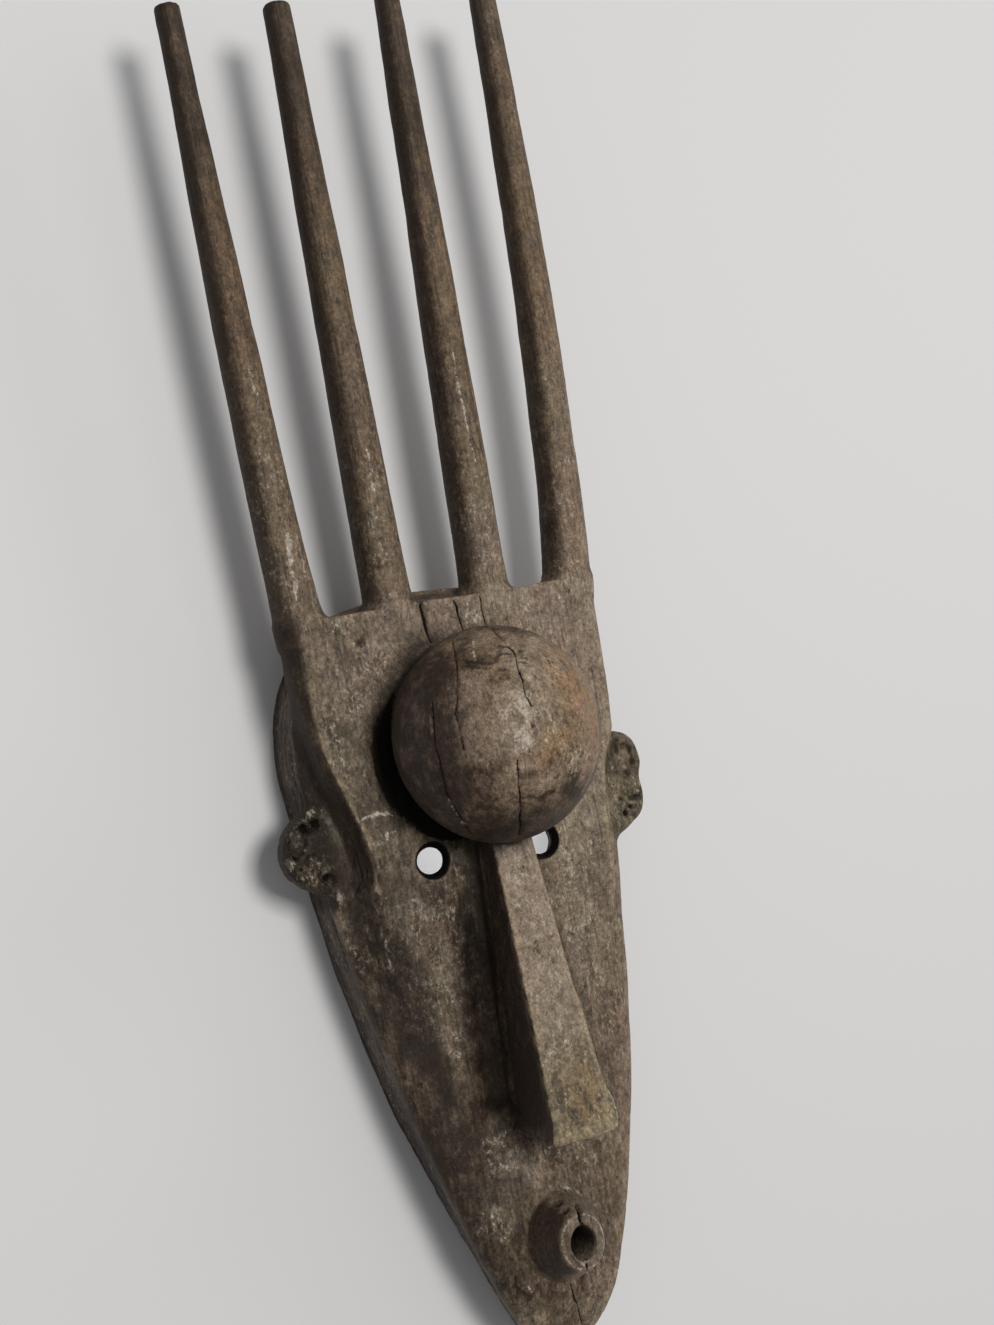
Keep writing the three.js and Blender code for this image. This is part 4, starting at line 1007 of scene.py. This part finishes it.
    def dirt_and_shade(self, gouge):
        """How dark each point is: old dirt in cuts, on the side walls and in patches, and painted shade on
        sides turned from the light and in corners, creases and holes.
        """
        x, y, z, nx, way = self.x, self.y, self.z, self.nx, self.ball_way
        on_ball, on_horn, on_mouth, in_ear = self.on_ball, self.on_horn, self.on_mouth, self.in_ear
        shadow_under_ball = 1 - smoothstep(np.hypot(way[:, 0], way[:, 1]), 1.00, 1.16)
        shadow_under_ball = shadow_under_ball * (z < 30) * (0.5 + 0.5 * smoothstep(-x, -20, 20)) * self.off_ball
        dark = strongest(
            # Painted shade on the ball's left, lower and under sides, which turn from the light
            on_ball * 0.90 * smoothstep(-way[:, 0], 0.48, 0.86),
            on_ball * 0.80 * smoothstep(-way[:, 1], 0.50, 0.90),
            on_ball * smoothstep(-way[:, 2], -0.08, 0.12),
            on_ball * spots(self.points, BALL_DARK),
            # Painted shadow in the crevice under the ball's overhang, round its foot
            0.9 * shadow_under_ball,
            self.banded(DIRT_AND_SHADE_BANDS) * (1 - 0.9 * self.on_ridge * self.flaked),
            spots(self.points, SHADED_PIT_AND_CREASE),
            # Painted shade on the nose's left side
            0.84 * self.on_nose * (z < 46) * smoothstep(-nx, 0.45, 0.8),
            self.side_wall * (0.38 + 0.50 * smoothstep(-z, 41, 48)),
            0.5 * self.side_wall * (x < 0) * smoothstep(-y, 20, 90) * smoothstep(z, -42, -24),
            # Painted shade down both sides of each horn, more on the left
            on_horn * (0.80 * smoothstep(-nx, 0.36, 0.85) + 0.4 * smoothstep(nx, 0.7, 1.0)),
            # Painted shade deep in the ears, by their roots
            0.9 * in_ear * smoothstep(-z, 10.5, 14) * (np.abs(x) < 97),
            0.30 * in_ear * (x < 0),
            # Painted shade on the mouth tube's left side
            0.80 * on_mouth * (z < 18.6) * (self.bore_gap > 8.6) * smoothstep(self.mouth_left, 0.10, 0.60),
            0.05 * self.on_ring,
            # Painted shade on the board's left side
            0.97 * self.beside,
            # Painted shade along the step behind the board's top edge
            0.65 * smoothstep(y, 127.5, 130) * (1 - smoothstep(y, 133, 137)) * (z < 2) * self.outside,
            gouge * np.where(on_ball, 0.84, 0.95),
            # Painted shade at the eye holes' rims
            1 - smoothstep(self.eye_gap, 9.4, 10.6),
            # Painted shade in the mouth's bore, all but its lit lower wall
            self.in_bore * (0.75 + 0.25 * smoothstep(-z, -10, 4)) * (1 - self.lit_wall),
            0.45 * self.inside,
        )
        return dark * (1 - 0.8 * self.rim_line)

    def dustiness(self, dust_band):
        cloudy = smoothstep(noise(self.points, (26, 40, 26), 30), -0.3, 0.4)
        return self.outside * strongest(
            0.55 * self.face * cloudy * (1 - 0.4 * self.on_ball),
            0.5 * self.on_horn * (1 - smoothstep(self.y, 150, 330)),
            0.62 * self.in_ear,
            dust_band * self.off_ball,
            self.on_ball * spots(self.points, BALL_DUST),
            0.65 * self.side_wall)

    def worn_edges_and_hollows(self, blurs):
        """How far each point stands proud of the surface around it, less where no hand rubs its edges; sunk
        points, below 0, are painted in shade.
        """
        near, far = (sampled(blur, self.points, COARSE * VOXEL) for blur in blurs)
        edge = near + 0.5 * far
        rubbed = np.where(self.on_horn > 0.5, 0.0, 1.0) * np.where(self.in_ear, 0.25, 1.0)
        rubbed = rubbed * np.where(self.on_mouth, 0.3, 1.0)
        rubbed = rubbed * np.where(self.side_wall > 0.5, 0.5, 1.0) * np.where(self.inside, 0.3, 1.0)
        left_cheek = smoothstep(-self.x, 15, 40) * smoothstep(-self.y, 20, 45) * self.off_nose
        return np.where(edge > 0, edge * (rubbed * (1 - 0.8 * left_cheek)), edge)

    def grain(self):
        """How strong the streaks along the grain are, and how patchy the skin over the wood is."""
        streak = np.where(self.on_nose & (self.nz > 0.6), 0.12, 0.55 + 0.35 * self.side_wall)
        streak = np.where(self.on_ball, 0.15, streak) * (1 - 0.7 * self.low_left * smoothstep(self.y, 0, 20))
        patchy = np.select([self.on_horn > 0.5, self.on_ball, self.on_nose], [0.40, 1.0, 0.88], 0.80)
        right_cheek = (patchy == 0.80) * smoothstep(self.x, 22, 40) * (self.y < 0) * self.face
        patchy = np.where(self.on_mouth, 0.30, patchy) - 0.22 * right_cheek
        return streak * np.where(self.in_ear, 0.3, 1.0), patchy

    def aged(self, blurs):
        """Displaced points, the tone of the surface at each of them, and which are kept fine."""
        height, crack_and_shade, gouge = self.cut_marks()
        fine, pale = self.pale_marks()
        dust_band = self.banded(DUST_BANDS)
        streak, patchy = self.grain()
        tones = {"crack_and_shade": np.maximum(crack_and_shade, self.painted_shadow_and_soot()), "pale": pale, "warm": self.warmth(),
                 "dark": self.dirt_and_shade(gouge), "dust": self.dustiness(dust_band),
                 "tan": self.tan_with_painted_light(dust_band), "hue": self.greenness(), "edge": self.worn_edges_and_hollows(blurs),
                 "streak": streak, "patchy": patchy}
        height = height * smoothstep(self.z, -54.6, -53.4)
        moved = self.points + self.normals * height[:, None]
        moved[:, 2] = np.maximum(moved[:, 2], -RIM_DEPTH)
        return moved, tones, (crack_and_shade > 0) | (gouge > 0.03) | (fine > 0.06)


# The decimation takes most points from the hollow, fewer from the front, and none from the marks
TRIANGLES = 190000
HOLLOW_WEIGHT = 1.0
FRONT_WEIGHT = 0.5
WEIGHT_FACTOR = 0.012
SURFACE_BAND = 4.0
# Points this near the middle of an eye hole or of the mouth, in front of this depth, are kept too
EYE_KEPT = 15.0
MOUTH_KEPT = 19.0
KEPT_Z = -16.0
BLUR_WIDTHS = (3, 9)


def surface(field):
    """Points and outward-wound quads where the distance field is zero."""
    grid = openvdb.FloatGrid(SURFACE_BAND)
    grid.copyFromArray(np.clip(field, -SURFACE_BAND, SURFACE_BAND))
    points, _, quads = grid.convertToPolygons(isovalue=0.0, adaptivity=0.0)
    points = points.astype(float) * VOXEL + LOW
    quads = quads.astype(np.int64)
    a, b, c = (points[quads[:, i]] for i in range(3))
    if (np.cross(b - a, c - a) * (a - (0, 0, -30))).sum() < 0:
        quads = quads[:, ::-1]
    return points, quads


def full_mesh(points, quads, tones):
    mesh = bpy.data.meshes.new("mask_wood")
    mesh.vertices.add(len(points))
    mesh.vertices.foreach_set("co", points.astype(np.float32).ravel())
    mesh.loops.add(quads.size)
    mesh.loops.foreach_set("vertex_index", quads.astype(np.int32).ravel())
    mesh.polygons.add(len(quads))
    mesh.polygons.foreach_set("loop_start", np.arange(0, quads.size, 4, dtype=np.int32))
    mesh.update(calc_edges=True)
    for name, values in tones.items():
        layer = mesh.attributes.new(name, "FLOAT", "POINT")
        layer.data.foreach_set("value", values.astype(np.float32))
    return mesh


def mask_object():
    field = carve()
    points, quads = surface(field)
    coarse = np.clip(field[::COARSE, ::COARSE, ::COARSE], -REACH, REACH)
    skin = Skin(points, vertex_normals(points, quads), field)
    points, tones, fine = skin.aged([blurred(coarse, width) for width in BLUR_WIDTHS])

    mask = bpy.data.objects.new("mask_wood", full_mesh(points, quads, tones))
    bpy.context.scene.collection.objects.link(mask)
    x, y, z = points.T
    by_hole = np.any([np.hypot(x - ex, y - ey) < EYE_KEPT for ex, ey in EYES], axis=0)
    by_hole = by_hole | (np.hypot(x, y - MOUTH_Y) < MOUTH_KEPT)
    thinned = ~(fine | (by_hole & (z > KEPT_Z)))
    weights = mask.vertex_groups.new(name="thinned")
    weights.add(np.nonzero(skin.inside & thinned)[0].tolist(), HOLLOW_WEIGHT, "REPLACE")
    weights.add(np.nonzero(skin.outside & thinned)[0].tolist(), FRONT_WEIGHT, "REPLACE")
    thin = mask.modifiers.new("thin", "DECIMATE")
    thin.ratio = min(1.0, TRIANGLES / (2 * len(quads)))
    thin.vertex_group = "thinned"
    thin.vertex_group_factor = WEIGHT_FACTOR
    mask.data = bpy.data.meshes.new_from_object(mask.evaluated_get(bpy.context.evaluated_depsgraph_get()))
    mask.data.transform(Matrix.Scale(MM, 4) @ Matrix.Translation(TO_ROW))
    mask.modifiers.clear()
    mask.vertex_groups.clear()
    mask.data.polygons.foreach_set("use_smooth", np.ones(len(mask.data.polygons), bool))
    return mask


class Nodes:
    """Short calls that add and link shader nodes of one material."""

    def __init__(self, name):
        self.material = bpy.data.materials.new(name)
        self.material.use_nodes = True
        self.tree = self.material.node_tree
        self.shader = self.tree.nodes["Principled BSDF"]
        self.place = self.tree.nodes.new("ShaderNodeTexCoord").outputs["Object"]

    def link(self, value, socket):
        if isinstance(value, bpy.types.NodeSocket):
            self.tree.links.new(value, socket)
        elif isinstance(value, tuple):
            socket.default_value = (*value, 1.0)
        else:
            socket.default_value = value

    def tone(self, name):
        node = self.tree.nodes.new("ShaderNodeAttribute")
        node.attribute_name = name
        return node.outputs["Fac"]

    def noise(self, sizes, detail=3.0, rough=0.55, shift=0.0):
        """Noise from 0 to 1 that varies over the given sizes in millimetres."""
        scale = self.tree.nodes.new("ShaderNodeMapping")
        scale.inputs["Scale"].default_value = [1 / (size * MM) for size in sizes]
        scale.inputs["Location"].default_value = (shift, shift * 1.7, shift * 0.6)
        self.link(self.place, scale.inputs["Vector"])
        node = self.tree.nodes.new("ShaderNodeTexNoise")
        node.inputs["Scale"].default_value = 1.0
        node.inputs["Detail"].default_value = detail
        node.inputs["Roughness"].default_value = rough
        self.link(scale.outputs["Vector"], node.inputs["Vector"])
        return node.outputs["Fac"]

    def span(self, value, low, high, to_low=0.0, to_high=1.0, kind="SMOOTHSTEP"):
        node = self.tree.nodes.new("ShaderNodeMapRange")
        node.interpolation_type = kind
        for key, number in zip(("Value", "From Min", "From Max", "To Min", "To Max"),
                               (value, low, high, to_low, to_high)):
            self.link(number, node.inputs[key])
        return node.outputs["Result"]

    def ramp(self, value, low, high, to_low=0.0, to_high=1.0):
        """A straight span, without the smooth ends."""
        return self.span(value, low, high, to_low, to_high, "LINEAR")

    def math(self, kind, a, b):
        node = self.tree.nodes.new("ShaderNodeMath")
        node.operation = kind
        self.link(a, node.inputs[0])
        self.link(b, node.inputs[1])
        return node.outputs[0]

    def plus(self, *values):
        return functools.reduce(functools.partial(self.math, "ADD"), values)

    def times(self, *values):
        return functools.reduce(functools.partial(self.math, "MULTIPLY"), values)

    def mix(self, a, b, amount, kind="MIX"):
        node = self.tree.nodes.new("ShaderNodeMix")
        node.data_type = "RGBA"
        node.blend_type = kind
        self.link(a, node.inputs["A"])
        self.link(b, node.inputs["B"])
        self.link(amount, node.inputs["Factor"])
        return node.outputs["Result"]


# The wood's colours, from the black in its cracks and painted shadows to the palest scratch and painted
# highlight
BLACK_OF_CRACKS_AND_SHADE = (0.004, 0.003, 0.002)
DIRT_AND_SHADE_BROWN = (0.0175, 0.0094, 0.0048)
PITTED = (0.021, 0.012, 0.007)
SKIN_BROWN = (0.0270, 0.0150, 0.0076)
MIDDLE_BROWN, MIDDLE_GREEN = (0.112, 0.079, 0.050), (0.104, 0.083, 0.057)
LIGHT_TAN, LIGHT_GREY = (0.238, 0.181, 0.132), (0.222, 0.180, 0.136)
BARE_WOOD = (0.370, 0.305, 0.245)
ORANGE = (0.285, 0.168, 0.080)
WORN_EDGE = (0.330, 0.255, 0.180)
DUST_GREEN, DUST_PALE = (0.345, 0.330, 0.265), (0.440, 0.390, 0.325)
FLECK = (0.450, 0.410, 0.345)
SCRATCH_AND_HIGHLIGHT = (0.500, 0.460, 0.395)
PURPLE_TINT, GREEN_TINT = (1.03, 0.93, 0.97), (0.99, 1.02, 0.88)


def wood():
    n = Nodes("weathered_wood_and_painted_light")
    crack_and_shade, pale, warm, dark = (n.tone(name) for name in ("crack_and_shade", "pale", "warm", "dark"))
    dust, edge, tan, hue = (n.tone(name) for name in ("dust", "edge", "tan", "hue"))
    streak, patchy = n.tone("streak"), n.tone("patchy")

    broad = n.noise((38, 60, 38), 3, 0.6)
    clouds = n.noise((14, 20, 14), 5, 0.62, 17.2)
    mottle = n.noise((6.0, 9.0, 6.0), 6, 0.76, 3.1)
    lichen = n.noise((4.5, 6.0, 4.5), 6, 0.84, 23.9)
    pitting = n.noise((4.0, 6.5, 4.0), 6, 0.84, 9.1)
    speck = n.noise((1.4, 2.0, 1.4), 3, 0.75, 12.4)
    grain = n.noise((1.6, 34, 1.6), 4, 0.6, 5.3)
    fine_grain = n.noise((0.6, 10, 0.6), 3, 0.6, 8.7)
    granular = n.noise((1.9, 2.8, 1.9), 3, 0.72, 14.6)
    cluster = n.noise((13, 18, 13), 4, 0.6, 31.3)
    sand = n.noise((0.9, 1.2, 0.9), 2, 0.7, 27.7)

    # Tan wood shows through the dark skin, in patches within patches
    patches = n.plus(n.ramp(clouds, 0.25, 0.75, -0.42, 0.42), n.ramp(mottle, 0.30, 0.70, -0.58, 0.58))
    streaks = n.times(streak, n.ramp(grain, 0.25, 0.75, 0.36, -0.36))
    bare = n.plus(tan, n.times(patches, patchy), streaks)
    middle = n.mix(MIDDLE_BROWN, MIDDLE_GREEN, n.span(broad, 0.34, 0.66))
    light = n.mix(LIGHT_TAN, LIGHT_GREY, n.span(broad, 0.36, 0.64))
    colour = n.mix(SKIN_BROWN, middle, n.ramp(bare, -0.10, 0.42))
    colour = n.mix(colour, light, n.ramp(bare, 0.38, 0.86))
    colour = n.mix(colour, BARE_WOOD, n.ramp(bare, 0.86, 1.45))
    warmed = n.times(warm, n.span(mottle, 0.34, 0.60, 0.20, 0.90), n.span(bare, -0.1, 0.6, 0.2, 1.0))
    colour = n.mix(colour, ORANGE, warmed)
    colour = n.mix(colour, SKIN_BROWN, n.times(n.span(grain, 0.56, 0.64), streak, 0.70))

    # Pale dust and dark pits, both ragged
    dusty = n.times(dust, n.span(lichen, 0.53, 0.60))
    dust_colour = n.mix(DUST_GREEN, DUST_PALE, n.span(broad, 0.38, 0.60))
    colour = n.mix(colour, dust_colour, n.times(dusty, 0.58))
    flecks = n.times(n.span(granular, 0.54, 0.66), n.span(cluster, 0.47, 0.60), n.span(dust, 0.10, 0.75))
    colour = n.mix(colour, FLECK, n.times(flecks, 0.72))
    colour = n.mix(colour, PITTED, n.times(n.span(pitting, 0.44, 0.37), 0.78))
    # Pale scratches and spots, partly a painted highlight on the ball and a painted sheen on the horns
    broken = n.plus(pale, n.ramp(mottle, 0.30, 0.70, -0.30, 0.30), n.ramp(speck, 0.30, 0.70, -0.25, 0.25))
    colour = n.mix(colour, SCRATCH_AND_HIGHLIGHT, n.times(n.span(broken, 0.52, 0.82), 0.80))
    worn = n.times(n.span(edge, 0.85, 2.2), n.span(mottle, 0.35, 0.58, 0.15, 0.70))
    colour = n.mix(colour, WORN_EDGE, worn)

    # Old dirt and painted shade from the dark tone, and dirt and painted shade in every corner, thinner
    # under dust
    dirt_and_shade = n.math("MAXIMUM", n.times(dark, n.span(mottle, 0.36, 0.66, 1.00, 0.76)),
                  n.times(n.span(edge, -0.25, -1.4), 0.90))
    dirt_and_shade = n.times(dirt_and_shade, n.span(dusty, 0.2, 0.9, 1.0, 0.55))
    colour = n.mix(colour, DIRT_AND_SHADE_BROWN, dirt_and_shade)
    grit = n.tree.nodes.new("ShaderNodeCombineColor")
    grains = n.times(n.ramp(granular, 0.28, 0.72, 0.50, 1.54), n.ramp(sand, 0.30, 0.70, 0.70, 1.30))
    for socket in grit.inputs:
        n.link(grains, socket)
    colour = n.mix(colour, grit.outputs[0], 1.0, "MULTIPLY")
    colour = n.mix(colour, n.mix(PURPLE_TINT, GREEN_TINT, n.ramp(hue, -1.0, 1.0)), 1.0, "MULTIPLY")
    # Black of the cracks, of the painted shadow beside the ball and of the painted shade left of the nose
    colour = n.mix(colour, BLACK_OF_CRACKS_AND_SHADE, n.span(crack_and_shade, 0.36, 0.68))
    n.link(colour, n.shader.inputs["Base Color"])

    rough = n.plus(n.span(mottle, 0.30, 0.70, 0.46, 0.66), n.times(dusty, 0.22), n.times(dirt_and_shade, 0.12),
                   n.times(warm, -0.06))
    n.link(rough, n.shader.inputs["Roughness"])
    n.link(n.span(crack_and_shade, 0.20, 0.60, 0.32, 0.12), n.shader.inputs["Specular IOR Level"])

    bump = n.tree.nodes.new("ShaderNodeBump")
    bump.inputs["Strength"].default_value = 0.6
    bump.inputs["Distance"].default_value = 0.9 * MM
    relief = n.plus(n.times(grain, -0.9), n.times(fine_grain, -0.35), n.times(speck, 0.9),
                    n.times(mottle, 0.8))
    n.link(relief, bump.inputs["Height"])
    n.link(bump.outputs["Normal"], n.shader.inputs["Normal"])
    return n.material


def plain(name, colour, roughness):
    n = Nodes(name)
    n.link(colour, n.shader.inputs["Base Color"])
    n.link(roughness, n.shader.inputs["Roughness"])
    return n.material


# The camera stands where the photo's did: its place in metres, its three axes and its lens in mm
CAMERA_PLACE = (-0.4349, -0.0292, 0.9830)
CAMERA_RIGHT = (0.88126, -0.19365, 0.43114)
CAMERA_UP = (0.16135, 0.98067, 0.11068)
CAMERA_BACK = (-0.44424, -0.02797, 0.89547)
CAMERA_LENS = 54.34
SENSOR = 36.0
# Each light: its place and target in metres, its width and depth, its power in watts and its colour.
# The one inside lies in the hollow, so that the eye holes show pale, as on the photo's white wall.
LIGHTS = {
    "key": ((0.20, 0.40, 3.00), (0.0, 0.0, 0.05), (0.85, 0.85), 49.0, (1.0, 0.98, 0.95)),
    "right": ((2.2, 0.5, 1.1), (0.0, 0.0, 0.05), (1.2, 1.0), 9.0, (1.0, 0.98, 0.96)),
    "inside": ((0.018, -0.092, 0.038), (0.018, -0.092, 0.0), (0.11, 0.05), 0.028, (1.0, 1.0, 1.0)),
}
SKY, SKY_STRENGTH = (0.98, 0.985, 1.0), 0.26
FLOOR, FLOOR_ROUGHNESS, FLOOR_SIDE = (0.78, 0.78, 0.785), 0.6, 12.0


def photo_camera():
    data = bpy.data.cameras.new("camera")
    data.lens = CAMERA_LENS
    data.sensor_width = SENSOR
    camera = bpy.data.objects.new("camera", data)
    turn = Matrix((CAMERA_RIGHT, CAMERA_UP, CAMERA_BACK)).transposed().to_4x4()
    camera.matrix_world = Matrix.Translation(CAMERA_PLACE) @ turn
    bpy.context.scene.collection.objects.link(camera)
    bpy.context.scene.camera = camera


def area_light(name, place, target, size, power, colour):
    data = bpy.data.lights.new(name, "AREA")
    data.shape = "RECTANGLE"
    data.size, data.size_y = size
    data.energy = power
    data.color = colour
    light = bpy.data.objects.new(name, data)
    light.location = place
    light.rotation_euler = (Vector(target) - Vector(place)).to_track_quat("-Z", "Y").to_euler()
    bpy.context.scene.collection.objects.link(light)


def studio():
    bpy.context.scene.view_settings.view_transform = "Standard"
    world = bpy.data.worlds.new("studio")
    world.use_nodes = True
    sky = world.node_tree.nodes["Background"]
    sky.inputs["Color"].default_value = (*SKY, 1.0)
    sky.inputs["Strength"].default_value = SKY_STRENGTH
    bpy.context.scene.world = world
    for name, settings in LIGHTS.items():
        area_light(name, *settings)
    bpy.ops.mesh.primitive_plane_add(size=FLOOR_SIDE, location=(0, 0, 0))
    floor = bpy.context.object
    floor.name = "floor"
    floor.data.materials.append(plain("pale_floor", FLOOR, FLOOR_ROUGHNESS))


photo_camera()
studio()
mask = mask_object()
mask.data.materials.clear()
mask.data.materials.append(wood())
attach(mask, "root")
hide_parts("mask")

bpy.context.view_layer.update()
